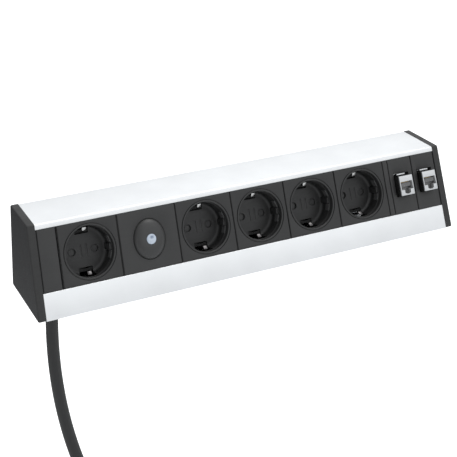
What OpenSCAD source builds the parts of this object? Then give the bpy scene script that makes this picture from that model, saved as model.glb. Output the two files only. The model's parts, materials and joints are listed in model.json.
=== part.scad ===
// Desk power strip with a sloping front: five earthed sockets, a push-button module
// and two data jacks in an extruded housing with moulded end caps.
// Frame: origin in the middle of the underside, X along the strip, front towards -Y, Z up.

/* [Housing] */
// Depth of the underside, front edge to back wall
base_depth = 69.5; // [69.5:0.5:74.5]
// Depth of the top face
top_depth = 44; // [44:0.5:47]
// Height of the housing
height = 67.9; // [67.9:0.1:69.9]
// Thickness of the extruded walls
wall = 2; // [1.8:0.1:2.2]
// Width of the lower front band, measured up the slope
lower_band = 20.6; // [20.6:0.1:21.2]
// Height of the opening that takes the modules, measured up the slope
panel_h = 47.9; // [47.8:0.1:48.1]
// Thickness of each end cap
cap_t = 6.5; // [5:0.1:8]

/* [Module row] */
// Width of the blank strip at the left end
blank_w = 16.3; // [15.3:1:24.3]
// Pitch of the socket and button modules
module_w = 50.1; // [49.8:0.1:52]
// Width of the spacer strip before the data modules
spacer_w = 5.2; // [4.2:0.5:8.2]
// Pitch of the data modules
data_w = 24.6; // [24.5:0.1:27]

/* [Sockets] */
// Diameter of the round well at its mouth
well_d = 39.5; // [39.3:0.1:39.8]
// Depth of the well below the rim
well_depth = 17.5; // [17:0.1:17.6]
// Outside diameter of the rim round the well
rim_d = 42.4; // [42:0.1:43]
// Height of the rim above the plate
rim_rise = 0.1; // [0.1:0.1:0.6]
// Distance between the two pin holes
pin_pitch = 19; // [18.9:0.1:19.1]
// Diameter of each pin hole
pin_hole_d = 5.4; // [5.2:0.1:5.6]

/* [Push button] */
// Diameter of the round button cap
button_d = 8; // [7.5:0.5:9]
// How far the cap stands in front of the panel
button_rise = 5; // [4.6:0.1:5.4]
// Width of the oval dome round the button
dome_w = 26.6; // [26:0.2:28]
// Height of the oval dome, measured up the slope
dome_h = 31.6; // [30:0.2:33]
// How far the dome stands in front of the panel at its centre
dome_rise = 4; // [3.4:0.1:4.2]

/* [Data jacks] */
// Width of the jack face
jack_w = 13.8; // [13.6:0.1:14.4]
// Height of the jack face
jack_h = 16.9; // [16.8:0.1:17.6]
// How far the jack face stands in front of the panel
jack_rise = 6.6; // [4:0.1:7]

/* [Cable] */
// Diameter of the supply cable
cable_d = 11; // [8:0.5:11]
// Height of the cable outlet in the back wall
outlet_z = 22; // [21:0.5:24]

/* [Hidden] */
$fn = 72;

len_x = blank_w + 6*module_w + spacer_w + 2*data_w;
x0 = -len_x/2;
yf = -base_depth/2;
yb = base_depth/2;
run = base_depth - top_depth;
slope = atan2(height, run);
mid = lower_band + panel_h/2;
plate_front = -0.3;          // plates sit just behind the housing's front plane
plate_back = -4.05;
rim_top = plate_front + rim_rise;
floor_h = rim_top - well_depth;
floor_t = 1.1;
floor_back = floor_h - floor_t;
well_r = well_d/2;
deep_r = well_r - 0.25;      // the well is slightly narrower below its mouth
rib_top = floor_h + 12.5;
cav_back = floor_back - 3.8; // back of the shutter's space
car_back = floor_back - 15.7;
socket_x = [for (i = [0, 2, 3, 4, 5]) x0 + blank_w + module_w*(i + 0.5)];
socket_plate = [48.6, 49.2, 49.2, 49.2, 49.2];
button_x = x0 + blank_w + module_w*1.5;
spacer_x = x0 + blank_w + 6*module_w + spacer_w/2;
data_x = [for (i = [0, 1]) x0 + blank_w + 6*module_w + spacer_w + data_w*(i + 0.5)];
cable_x = x0 - cap_t + 46.65;
cable_y = yb + 47.5;
bend_r = 28;
hang_r = 440;
hang_z = -72.8;
hang_a = 18.6;
cable_end = [cable_x + hang_r*(1 - cos(hang_a)), cable_y, hang_z - hang_r*sin(hang_a)];

// ---------- helpers ----------
function unit(v) = v/norm(v);
function turn(v, k) = [v[0]*cos(k) - v[1]*sin(k), v[0]*sin(k) + v[1]*cos(k)];
function corner(p, q, s, r, n) =
    let (u = unit(q - p), v = unit(s - p), t = acos(u*v)/2, o = p + unit(u + v)*(r/sin(t)),
         b = p + u*(r/tan(t)) - o, e = p + v*(r/tan(t)) - o,
         g = (b[0]*e[1] - b[1]*e[0]) > 0 ? 1 : -1)
    [for (i = [0:n]) o + turn(b, g*(180 - 2*t)*i/n)];
function rounded(pts, rs, n = 6) =
    let (m = len(pts))
    [for (i = [0:m-1]) each (rs[i] <= 0 ? [pts[i]]
        : corner(pts[i], pts[(i + m - 1) % m], pts[(i + 1) % m], rs[i], n))];
function oval(a, b, n = 72) = [for (i = [0:n-1]) [a*cos(360*i/n), b*sin(360*i/n)]];
function transport(t, u, i = 0) =
    i == len(t) ? [] : let (w = unit(u - (u*t[i])*t[i])) concat([w], transport(t, w, i + 1));
function bez(a, b, c, d, n = 10) =
    [for (i = [0:n]) let (t = i/n) a*pow(1-t, 3) + b*3*t*pow(1-t, 2) + c*3*t*t*(1-t) + d*pow(t, 3)];

// Point on the sloping front: x along the strip, s up the slope, h outwards
function on_panel(x, s, h) = [x, yf + s*cos(slope) - h*sin(slope), s*sin(slope) + h*cos(slope)];

module panel(x = 0, s = 0) translate([x, yf, 0]) rotate([slope, 0, 0]) translate([0, s, 0]) children();

// Extrudes a Y-Z outline along X
module along_x(from, to) translate([from, 0, 0]) rotate([90, 0, 90]) linear_extrude(to - from) children();

// Round rod along a list of points
module rod(path, r, start, n = 14) {
    m = len(path);
    t = [for (i = [0:m-1]) unit(i == 0 ? path[1] - path[0] : i == m-1 ? path[m-1] - path[m-2]
        : unit(path[i+1] - path[i]) + unit(path[i] - path[i-1]))];
    u = transport(t, start);
    pts = [for (i = [0:m-1], k = [0:n-1]) path[i] + r*(cos(360*k/n)*u[i] + sin(360*k/n)*cross(t[i], u[i]))];
    sides = [for (i = [0:m-2], k = [0:n-1]) let (j = (k + 1) % n) [i*n + k, (i+1)*n + k, (i+1)*n + j, i*n + j]];
    polyhedron(pts, concat([[for (k = [0:n-1]) k]], sides, [[for (k = [n-1:-1:0]) (m-1)*n + k]]), convexity = 6);
}

// ---------- housing ----------
function outline() = [[yf, 0], [yb, 0], [yb, height], [yf + run, height]];
boss_at = [[yb - 4.5, 4.5], [yb - 4.5, height - 4.5], [yf + 6.5, 4.5], [4, height - 4.5]];

module aluminium_profile() color([0.90, 0.92, 0.93]) {
    k = wall/sin(slope);
    inner = [[yf + wall*run/height + k, wall], [yb - wall, wall], [yb - wall, height - wall],
             [yf + (height - wall)*run/height + k, height - wall]];
    difference() {
        union() {
            difference() {
                along_x(x0, -x0) polygon(rounded(outline(), [0.4, 0.6, 1, 1.4]));
                along_x(x0 - 1, 1 - x0) polygon(rounded(inner, [0.6, 0.6, 0.6, 0.6], 3));
            }
            // guide rails behind both edges of the opening
            for (s = [lower_band - 3.5, lower_band + panel_h])
                panel() translate([x0, s, -wall - 3.9]) cube([len_x, 3.5, 4.9]);
            // round channels that take the end caps' pegs
            for (b = boss_at) along_x(x0, -x0) translate(b) circle(r = 3.2);
        }
        panel() translate([x0 - 1, lower_band, -8]) cube([len_x + 2, panel_h, 12]);
        panel() translate([x0 - 1, lower_band - 2, -wall - 2.3]) cube([len_x + 2, panel_h + 4, 2.3]);
        for (b = boss_at) along_x(x0 - 1, 1 - x0) translate(b) circle(r = 1.9);
        // cable outlet
        translate([cable_x, yb + 1, outlet_z]) rotate([90, 0, 0]) cylinder(r = 8.1, h = 6);
        // window behind the data jacks for their patch leads
        translate([data_x[0] - 10, yb - 4, 12]) cube([data_w + 20, 6, 26]);
    }
}

// End cap with rounded outer edges, a locating rim and four pegs; m = 1 right, -1 left
module end_cap(m) {
    r = 1.2;
    q = 0.35; // how far the cap stands proud of the housing, flush at the underside
    xo = -x0 + cap_t;
    k = q/sin(slope);
    skin = [[yf - k, 0], [yb + q, 0], [yb + q, height + q], [yf + (height + q)*run/height - k, height + q]];
    w = wall + 0.25;
    v = w + 1.6;
    mirror([m < 0 ? 1 : 0, 0, 0]) {
        intersection() {
            along_x(-x0 + 0.02, xo) polygon(rounded(skin, [1.4, 1.2, 1.2, 1.5]));
            // roundings along the top and bottom, the back and the slope
            translate([0, 80, 0]) rotate([90, 0, 0]) linear_extrude(160)
                polygon(rounded([[-x0 - 5, 0], [xo, 0], [xo, height + q], [-x0 - 5, height + q]], [0, r, r, 0], 5));
            translate([0, 0, -10]) linear_extrude(height + 20)
                polygon(rounded([[-x0 - 5, -70], [xo, -70], [xo, yb + q], [-x0 - 5, yb + q]], [0, 0, r, 0], 5));
            panel(0, -20) rotate([-90, 0, 0]) linear_extrude(130)
                polygon(rounded([[-x0 - 5, -q], [xo, -q], [xo, 100], [-x0 - 5, 100]], [0, r, 0, 0], 5));
        }
        // locating rim, cut away at the module opening, the rails and the peg channels
        difference() {
            along_x(-x0 - 4, -x0 + 1) polygon([[yf + w*run/height + w/sin(slope), w], [yb - w, w],
                [yb - w, height - w], [yf + (height - w)*run/height + w/sin(slope), height - w]]);
            along_x(-x0 - 5, -x0 + 2) polygon([[yf + v*run/height + v/sin(slope), v], [yb - v, v],
                [yb - v, height - v], [yf + (height - v)*run/height + v/sin(slope), height - v]]);
            panel() translate([-x0 - 6, lower_band - 4, -12]) cube([12, panel_h + 12, 20]);
            for (b = boss_at) along_x(-x0 - 5, -x0 + 0.5) translate(b) circle(r = 3.6);
        }
        for (b = boss_at) along_x(-x0 - 9, -x0 + 1) translate(b) circle(r = 1.8);
    }
}
module left_end_cap() color([0.22, 0.22, 0.23]) end_cap(-1);
module right_end_cap() color([0.26, 0.26, 0.27]) end_cap(1);

// Front plate with chamfered side edges and the two flanges that run in the rails
module face_plate(w) {
    c = 0.45;
    translate([0, lower_band + 0.12, 0]) rotate([-90, 0, 0])
        linear_extrude(panel_h - 0.24)
            polygon([[-w/2, -plate_back], [-w/2, -plate_front + c], [-w/2 + c, -plate_front],
                     [w/2 - c, -plate_front], [w/2, -plate_front + c], [w/2, -plate_back]]);
    translate([-w/2, lower_band - 1.75, plate_back]) cube([w, panel_h + 3.5, 1.85]);
}
module blank_strip() color([0.28, 0.28, 0.29]) panel(x0 + blank_w/2 + 0.05) face_plate(blank_w - 1.7);
module spacer_strip() color([0.25, 0.25, 0.26]) panel(spacer_x) face_plate(spacer_w - 0.6);

// ---------- sockets ----------
module at_socket(i) panel(socket_x[i], mid) children();

module socket_cover(i) color([0.22, 0.22, 0.23]) at_socket(i) {
    difference() {
        union() {
            difference() {
                union() {
                    translate([0, -mid, 0]) face_plate(socket_plate[i]);
                    // cup
                    translate([0, 0, floor_back]) cylinder(r = well_r + 1.75, h = -floor_back - 2);
                }
                translate([0, 0, floor_h]) cylinder(r = deep_r, h = 40);
                translate([0, 0, rib_top]) cylinder(r = well_r, h = 40);
                translate([0, 0, plate_front - 0.5]) cylinder(r = rim_d/2 + 0.5, h = 40);
            }
            // rim with a rolled edge, set off from the plate by a fine groove
            rotate_extrude() polygon(concat([[well_r, -2.5], [rim_d/2, -2.5]],
                rounded([[rim_d/2, plate_front - 0.6], [rim_d/2, rim_top], [well_r, rim_top], [well_r, -1.5]], [0, 0.25, 0.6, 0], 5)));
            // guide ribs
            for (m = [-1, 1]) translate([m*(well_r - 1) - 1.25, -2.6, floor_h - 0.5]) cube([2.5, 5.2, rib_top - floor_h + 0.4]);
            // collars round the pin holes
            for (m = [-1, 1]) translate([m*pin_pitch/2, 0, floor_h - 0.5]) cylinder(r = 3.5, h = 0.8);
            // screw bosses behind the floor
            for (m = [-1, 1]) translate([m*17.3, 0, floor_back - 6]) cylinder(r = 3, h = 6.5);
        }
        // pin holes with a small lead-in
        for (m = [-1, 1]) translate([m*pin_pitch/2, 0, 0]) {
            translate([0, 0, floor_back - 1]) cylinder(r = pin_hole_d/2, h = 6);
            translate([0, 0, floor_h + 0.05]) cylinder(r1 = pin_hole_d/2 - 0.01, r2 = pin_hole_d/2 + 0.35, h = 0.36);
        }
        // two upright grooves between them
        for (m = [-1, 1]) translate([m*2.4 - 0.95, -5.1, floor_h - 0.5]) cube([1.9, 10.2, 2]);
        // recesses the earth tongues stand in
        for (m = [-1, 1]) translate([-5.8, m*(well_r - 3) - 3.85, floor_back - 1]) cube([11.6, 7.7, rib_top - floor_back + 1]);
        for (m = [-1, 1]) translate([m*17.3, 0, floor_back - 7]) cylinder(r = 1.25, h = 6.8);
    }
}

module socket_shutter(i) color([0.93, 0.92, 0.88]) at_socket(i) difference() {
    union() {
        translate([-13, -3.2, floor_back - 1.6]) cube([26, 6.4, 1.4]);
        translate([0, 0, floor_back - 1.6]) cylinder(r = 4.4, h = 1.4);
        // ramps the pins push against
        for (m = [0, 180]) rotate([0, 0, m]) translate([6.6, -3.2, floor_back - 0.25])
            rotate([90, 0, 90]) linear_extrude(5.8) polygon([[0, 0], [6.4, 0], [6.4, 0.1]]);
    }
    translate([0, 0, floor_back - 3]) cylinder(r = 1.6, h = 4);
}

module socket_carrier(i) color([0.75, 0.76, 0.74]) at_socket(i) difference() {
    union() {
        difference() {
            translate([-22, -16.8, car_back]) cube([44, 33.6, floor_back - 0.05 - car_back]);
            // room for the shutter to turn
            translate([0, 0, cav_back]) cylinder(r = 14.4, h = 10);
        }
        translate([0, 0, cav_back - 1]) cylinder(r = 1.55, h = floor_back - 0.15 - cav_back + 1);
    }
    for (q = [0, 180]) rotate([0, 0, q]) {
        // contact chamber and busbar channel, open to the front
        translate([-pin_pitch/2 - 3.6, -4, car_back + 1.5]) cube([7.2, 10.6, 30]);
        translate([-30, 4.7, car_back + 1.5]) cube([60, 1.6, 30]);
        // boss pocket and screw hole
        translate([17.3, 0, floor_back - 6.2]) cylinder(r = 3.15, h = 10);
        translate([17.3, 0, car_back - 1]) cylinder(r = 1.35, h = 20);
        // recess beside each earth tongue
        translate([-4.9, 16.1, car_back - 1]) cube([9.8, 3, 30]);
    }
}

module socket_earth_clip(i) color([0.80, 0.80, 0.78]) at_socket(i) {
    b = car_back - 0.05;
    for (m = [0, 180]) rotate([0, 0, m]) translate([-2.1, 0, 0]) rotate([90, 0, 90]) linear_extrude(4.2)
        polygon([[0, b - 0.8], [18.2, b - 0.8], [18.2, -15], [16.4, -10.4], [19.2, -6.2], [18.6, -5.7],
                 [15.5, -10.4], [17.4, -15.2], [17.4, b], [0, b]]);
}

module shutter_springs() color([0.75, 0.75, 0.77])
    for (i = [0:4]) at_socket(i) for (k = [0:3]) translate([0, 0, cav_back + 0.35 + 0.42*k])
        rotate_extrude($fn = 32) translate([2.4, 0]) circle(r = 0.26, $fn = 16);

module carrier_screws() color([0.80, 0.80, 0.82])
    for (i = [0:4]) at_socket(i) for (m = [-1, 1]) translate([m*17.3, 0, 0]) difference() {
        union() {
            translate([0, 0, car_back - 1.7]) cylinder(r = 2.5, h = 1.65);
            translate([0, 0, car_back - 0.5]) cylinder(r = 1.2, h = 14.8);
        }
        for (q = [0, 90]) rotate([0, 0, q]) translate([-1.5, -0.3, car_back - 2]) cube([3, 0.6, 1.2]);
    }

// One busbar with a spring contact at each socket; m = 1 live, -1 neutral
module busbar(m) {
    z = car_back + 1.7;
    for (i = [0:4]) at_socket(i) rotate([0, 0, m > 0 ? 0 : 180]) translate([-pin_pitch/2 - 2.5, 0, 0]) {
        translate([0, -3.2, z]) cube([5, 9.1, 0.8]);
        for (s = [-3.2, 2.5]) translate([0, s, z]) cube([5, 0.7, 8.6]);
    }
    panel(0, mid) translate([socket_x[0] - 24.5, m > 0 ? 5.1 : -5.9, z])
        cube([socket_x[4] - socket_x[0] + 44.5, 0.8, 6]);
}
module live_busbar() color([0.78, 0.62, 0.30]) busbar(1);
module neutral_busbar() color([0.78, 0.62, 0.30]) busbar(-1);
module earth_busbar() color([0.80, 0.80, 0.78]) panel(0, mid)
    translate([socket_x[0] - 20, -13, car_back - 1.77]) cube([socket_x[4] - socket_x[0] + 36, 6, 0.9]);

// ---------- push button ----------
module button_cover() color([0.27, 0.27, 0.28]) panel(button_x, mid) difference() {
    translate([0, -mid, 0]) face_plate(49.2);
    translate([0, 0, -8]) linear_extrude(12) polygon(oval(dome_w/2 + 0.45, dome_h/2 + 0.45));
}

module button_dome() color([0.25, 0.25, 0.26]) panel(button_x, mid) {
    edge = 0.8; // height of the dome's edge over the panel
    k = dome_rise - edge;
    ra = (dome_w*dome_w/4 + k*k)/(2*k);
    rb = (dome_h*dome_h/4 + k*k)/(2*k);
    difference() {
        union() {
            // double-curved top
            intersection() {
                translate([0, 0, -6.5]) linear_extrude(12) polygon(oval(dome_w/2, dome_h/2));
                translate([0, 0, dome_rise - rb]) rotate([0, 90, 0]) rotate_extrude($fn = 96)
                    polygon(concat([[0, ra*sin(-45)]],
                        [for (i = [-30:30]) let (t = i*1.5) [rb - ra + ra*cos(t), ra*sin(t)]], [[0, ra*sin(45)]]));
            }
            translate([0, 0, -6.5]) linear_extrude(6.5 + plate_back - 0.1) polygon(oval(dome_w/2 + 2, dome_h/2 + 2));
        }
        translate([0, 0, -10]) cylinder(r = button_d/2 + 0.08, h = 20);
    }
}

module push_button() color([0.80, 0.85, 0.90]) panel(button_x, mid) {
    r = button_d/2;
    intersection() {
        translate([0, 0, -8]) cylinder(r = r, h = 8 + button_rise);
        translate([0, 0, button_rise - 12]) sphere(r = 12);
    }
    translate([0, 0, -7.9]) cylinder(r = 6, h = 1.3);
    translate([0, 0, -19]) cylinder(r = 2.4, h = 12);
}

module button_spring() color([0.75, 0.75, 0.77]) panel(button_x, mid)
    rod([for (i = [0:96]) [4.3*cos(i*15), 4.3*sin(i*15), -14.4 + 5.9*i/96]], 0.4, [0, 0, 1], 8);

module switch_body() color([0.15, 0.15, 0.16]) panel(button_x, mid) difference() {
    translate([-13, -14, -24]) cube([26, 28, 17.4]);
    translate([0, 0, -15]) cylinder(r = 6.4, h = 10);
    translate([0, 0, -25]) cylinder(r = 2.47, h = 12);
}

module lamp_board() color([0.12, 0.40, 0.24]) panel(button_x, mid) {
    translate([-11, -11, -25.7]) cube([22, 22, 1.6]);
    translate([0, 0, -24.3]) cylinder(r = 1.5, h = 1.6);
}

// ---------- data modules ----------
module data_cover(i) color([0.24, 0.24, 0.25]) panel(data_x[i], mid) difference() {
    translate([0, -mid, 0]) face_plate(data_w - 0.8);
    translate([-jack_w/2 - 1.2, -jack_h/2 - 0.8, -8]) cube([jack_w + 2.4, jack_h + 4.4, 12]);
}

module data_jack(i) color([0.73, 0.74, 0.75]) panel(data_x[i], mid) difference() {
    union() {
        translate([-jack_w/2, -jack_h/2, -22]) cube([jack_w, jack_h, 22 + jack_rise]);
        // shoulders that stop against the back of the cover
        translate([-jack_w/2 - 2.4, -jack_h/2 - 0.6, -8]) cube([jack_w + 4.8, jack_h + 1.2, 8 + plate_back - 0.1]);
    }
    // port with its stepped latch notch
    translate([-5.85, -3.45, -6.8]) cube([11.7, 6.8, 20]);
    translate([-3, -6.65, -6.8]) cube([6, 3.3, 20]);
    translate([-2, -7.4, -1]) cube([4, 1, 20]);
    // seat of the latch
    translate([-4.4, jack_h/2 - 1.2, -18]) cube([8.8, 3, 17.6]);
}

module jack_latch(i) color([0.62, 0.63, 0.64]) panel(data_x[i], mid) rotate([90, 0, 90])
    translate([0, 0, -4.3]) linear_extrude(8.6)
        polygon([[jack_h/2 - 1.1, -17.8], [jack_h/2 + 0.5, -17.8], [jack_h/2 + 0.9, -5], [jack_h/2 + 2, -3.2], [jack_h/2 + 2, -0.6],
                 [jack_h/2 + 0.5, -0.6], [jack_h/2 - 0.4, -5], [jack_h/2 - 1.1, -15]]);

module jack_contacts(i) color([0.85, 0.66, 0.25]) panel(data_x[i], mid)
    for (k = [0:7]) translate([(k - 3.5)*1.05 - 0.2, 0, 0]) rotate([90, 0, 90]) linear_extrude(0.4)
        polygon([[3.0, -6.75], [3.3, -6.75], [3.3, 3.2], [1.6, -4.6], [1.95, -4.7], [3.0, 0.2]]);

module jack_rear_cap(i) color([0.70, 0.71, 0.72]) panel(data_x[i], mid) difference() {
    translate([-jack_w/2, -jack_h/2, -34]) cube([jack_w, jack_h, 11.95]);
    translate([-5.85, -3.4, -35]) cube([11.7, 6.8, 9]);
    translate([-3, 3.2, -35]) cube([6, 3.2, 9]);
}

// ---------- wiring ----------
term_x = x0 + blank_w/2;
term_s = [-10, 0, 10];
module terminal_block() color([0.88, 0.88, 0.85]) panel(term_x, mid) difference() {
    union() {
        translate([-6, -15, -26]) cube([12, 30, 14]);
        translate([-4, -6, -13]) cube([8, 12, 13 + plate_back - 0.05]);
    }
    for (s = term_s) {
        translate([0, s, -27]) cylinder(r = 1.7, h = 9);
        translate([-7, s, -20.5]) rotate([0, 90, 0]) cylinder(r = 1.9, h = 6);
    }
}
module terminal_screws() color([0.80, 0.80, 0.82]) panel(term_x, mid)
    for (s = term_s) translate([-5.6, s, -20.5]) rotate([0, 90, 0]) difference() {
        cylinder(r = 1.8, h = 3.6);
        translate([-2, -0.3, -1]) cube([4, 0.6, 1.6]);
    }

// Where each lead leaves the cable's end and which way it sets off: earth, neutral, live
lead_start = [[-1.2, -2.3], [-1.2, 2.0], [2.4, 1.0]];
lead_way = [[-22, 2, -3], [-24, 2, -2], [2, 3, 22]];

// Lead from the cable's end into the back of the terminal block
module lead_in(k) {
    a = [cable_x + lead_start[k][0], 15.4, outlet_z + lead_start[k][1]];
    e = on_panel(term_x, mid + term_s[k], -34);
    rod(concat([a + [0, 3, 0]], bez(a, a + lead_way[k], on_panel(term_x, mid + term_s[k], -45), e, 14),
        [on_panel(term_x, mid + term_s[k], -20)]), 1.35, [0, 0, 1], 10);
}
module live_lead() color([0.45, 0.26, 0.13]) {
    lead_in(2);
    // on to the switch, over the first socket
    a = on_panel(term_x + 7.6, mid + 12.5, -16);
    b = on_panel(button_x - 14.6, mid + 9, -18);
    rod(bez(a, on_panel(socket_x[0] - 24, mid + 30, -23), on_panel(socket_x[0] + 24, mid + 30, -23), b, 14), 1.35, [0, 0, 1], 10);
    // and from the switch to the live busbar
    c = on_panel(button_x + 13.4, mid + 9, -18);
    d = on_panel(button_x + 21, mid + 8.6, -29.5);
    rod(bez(c, c + [6, 0, 0], d + [-4, 0, 0], d, 8), 1.35, [0, 0, 1], 10);
}
module neutral_lead() color([0.16, 0.32, 0.62]) {
    lead_in(1);
    a = on_panel(term_x + 3.3, mid + 3, -26.3);
    b = on_panel(socket_x[0] - 24.8, mid - 5.5, -30);
    rod(bez(a, on_panel(term_x + 3.3, mid + 3, -31), b + [-5, 0, 0], b, 8), 1.2, [0, 0, 1], 10);
}
module earth_lead() color([0.45, 0.62, 0.16]) {
    lead_in(0);
    a = on_panel(term_x + 3.3, mid - 12, -26.3);
    b = on_panel(socket_x[0] - 20.3, mid - 10, car_back - 1.9);
    rod(bez(a, on_panel(term_x + 3.3, mid - 12, -32), b + [-6, 0, 0], b, 8), 1.2, [0, 0, 1], 10);
}

module cable_clamp() color([0.2, 0.2, 0.2]) difference() {
    translate([cable_x - 13, 19.2, wall + 0.02]) cube([26, 7, 29]);
    translate([cable_x, 40, outlet_z]) rotate([90, 0, 0]) cylinder(r = cable_d/2 + 0.05, h = 30);
    for (m = [-1, 1]) translate([cable_x + m*9, 22.7, 18]) cylinder(r = 1.6, h = 20);
    for (m = [-1, 1]) translate([cable_x + m*11, 18, outlet_z - 0.4]) translate([-3, 0, 0]) cube([6, 10, 0.8]);
}
module clamp_screws() color([0.80, 0.80, 0.82]) for (m = [-1, 1]) translate([cable_x + m*9, 22.7, 0]) difference() {
    union() {
        translate([0, 0, wall + 29.1]) cylinder(r = 2.8, h = 2);
        translate([0, 0, 18.6]) cylinder(r = 1.5, h = 13);
    }
    for (q = [0, 90]) rotate([0, 0, q]) translate([-1.6, -0.3, wall + 30]) cube([3.2, 0.6, 3]);
}

module cable_bushing() color([0.13, 0.13, 0.13]) translate([cable_x, 0, outlet_z]) rotate([-90, 0, 0]) difference() {
    union() {
        translate([0, 0, yb - wall - 2.1]) cylinder(r = 10, h = 2);
        translate([0, 0, yb - wall - 1]) cylinder(r = 8, h = wall + 2);
        translate([0, 0, yb + 0.1]) cylinder(r = 10.5, h = 2.4);
        translate([0, 0, yb + 1]) cylinder(r1 = 8.6, r2 = 6.6, h = 17);
        for (k = [0:3]) translate([0, 0, yb + 5 + 3.2*k]) cylinder(r = 8.4 - 0.38*k, h = 1.6);
    }
    translate([0, 0, 0]) cylinder(r = cable_d/2 + 0.05, h = 80);
}

// ---------- cable and plug ----------
function cable_path() = concat(
    [[cable_x, 18.5, outlet_z], [cable_x, cable_y - bend_r, outlet_z]],
    [for (i = [1:12]) let (t = 90*i/12) [cable_x, cable_y - bend_r + bend_r*sin(t), outlet_z - bend_r*(1 - cos(t))]],
    [[cable_x, cable_y, hang_z]],
    [for (i = [1:16]) let (t = hang_a*i/16) [cable_x + hang_r*(1 - cos(t)), cable_y, hang_z - hang_r*sin(t)]],
    [cable_end + 8*[sin(hang_a), 0, -cos(hang_a)]]);
module supply_cable() color([0.21, 0.21, 0.21]) rod(cable_path(), cable_d/2, [1, 0, 0], 24);

module at_plug() translate(cable_end) rotate([0, -hang_a, 0]) children();
module plug_body() color([0.15, 0.15, 0.15]) at_plug() difference() {
    union() {
        translate([0, 0, -26]) cylinder(r1 = 9.5, r2 = 6.8, h = 28);
        translate([0, 0, -38]) cylinder(r1 = 18.4, r2 = 9.6, h = 13);
        translate([0, 0, -54]) cylinder(r = 18.4, h = 16.5);
    }
    translate([0, 0, -10]) cylinder(r = cable_d/2 + 0.1, h = 20);
    // side grooves for a socket's guide ribs
    for (m = [-1, 1]) translate([m*17.6 - 2, -2.9, -60]) cube([4, 5.8, 24]);
    // seats of the earth contacts
    for (m = [-1, 1]) translate([-3.3, m*17.6 - 1.4, -60]) cube([6.6, 2.8, 24]);
    // pin roots and the earth-pin hole
    for (m = [-1, 1]) translate([m*pin_pitch/2, 0, -60]) cylinder(r = 2.05, h = 16);
    translate([0, 10, -60]) cylinder(r = 2.5, h = 18);
}
module plug_pins() color([0.80, 0.80, 0.80]) at_plug() for (m = [-1, 1]) translate([m*pin_pitch/2, 0, 0]) {
    translate([0, 0, -54.2]) cylinder(r = 2, h = 9.2);
    translate([0, 0, -71.6]) cylinder(r = 2.4, h = 17.4);
    translate([0, 0, -73]) cylinder(r1 = 1.3, r2 = 2.4, h = 1.4);
}
module plug_earth_contacts() color([0.80, 0.80, 0.78]) at_plug() for (m = [0, 180]) rotate([0, 0, m])
    translate([-3, 0, 0]) rotate([90, 0, 90]) linear_extrude(6)
        polygon([[16.3, -53.8], [17.6, -53.8], [18.3, -50], [18.3, -38.5], [17.6, -36.6], [16.3, -36.6]]);

aluminium_profile();
left_end_cap();
right_end_cap();
blank_strip();
spacer_strip();
socket_cover(0);  // socket_1_cover
socket_cover(1);  // socket_2_cover
socket_cover(2);  // socket_3_cover
socket_cover(3);  // socket_4_cover
socket_cover(4);  // socket_5_cover
socket_shutter(0);  // socket_1_shutter
socket_shutter(1);  // socket_2_shutter
socket_shutter(2);  // socket_3_shutter
socket_shutter(3);  // socket_4_shutter
socket_shutter(4);  // socket_5_shutter
socket_carrier(0);  // socket_1_carrier
socket_carrier(1);  // socket_2_carrier
socket_carrier(2);  // socket_3_carrier
socket_carrier(3);  // socket_4_carrier
socket_carrier(4);  // socket_5_carrier
socket_earth_clip(0);  // socket_1_earth_clip
socket_earth_clip(1);  // socket_2_earth_clip
socket_earth_clip(2);  // socket_3_earth_clip
socket_earth_clip(3);  // socket_4_earth_clip
socket_earth_clip(4);  // socket_5_earth_clip
shutter_springs();
carrier_screws();
live_busbar();
neutral_busbar();
earth_busbar();
button_cover();
button_dome();
push_button();
button_spring();
switch_body();
lamp_board();
data_cover(0);  // data_cover_1
data_cover(1);  // data_cover_2
data_jack(0);  // data_jack_1
data_jack(1);  // data_jack_2
jack_latch(0);  // jack_latch_1
jack_latch(1);  // jack_latch_2
jack_contacts(0);  // jack_contacts_1
jack_contacts(1);  // jack_contacts_2
jack_rear_cap(0);  // jack_rear_cap_1
jack_rear_cap(1);  // jack_rear_cap_2
terminal_block();
terminal_screws();
live_lead();
neutral_lead();
earth_lead();
cable_clamp();
clamp_screws();
cable_bushing();
supply_cable();
plug_body();
plug_pins();
plug_earth_contacts();
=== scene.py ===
"""Looks of the desk power strip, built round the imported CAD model."""
import bpy
import bmesh
import json
import math
from mathutils import Matrix, Vector


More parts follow.
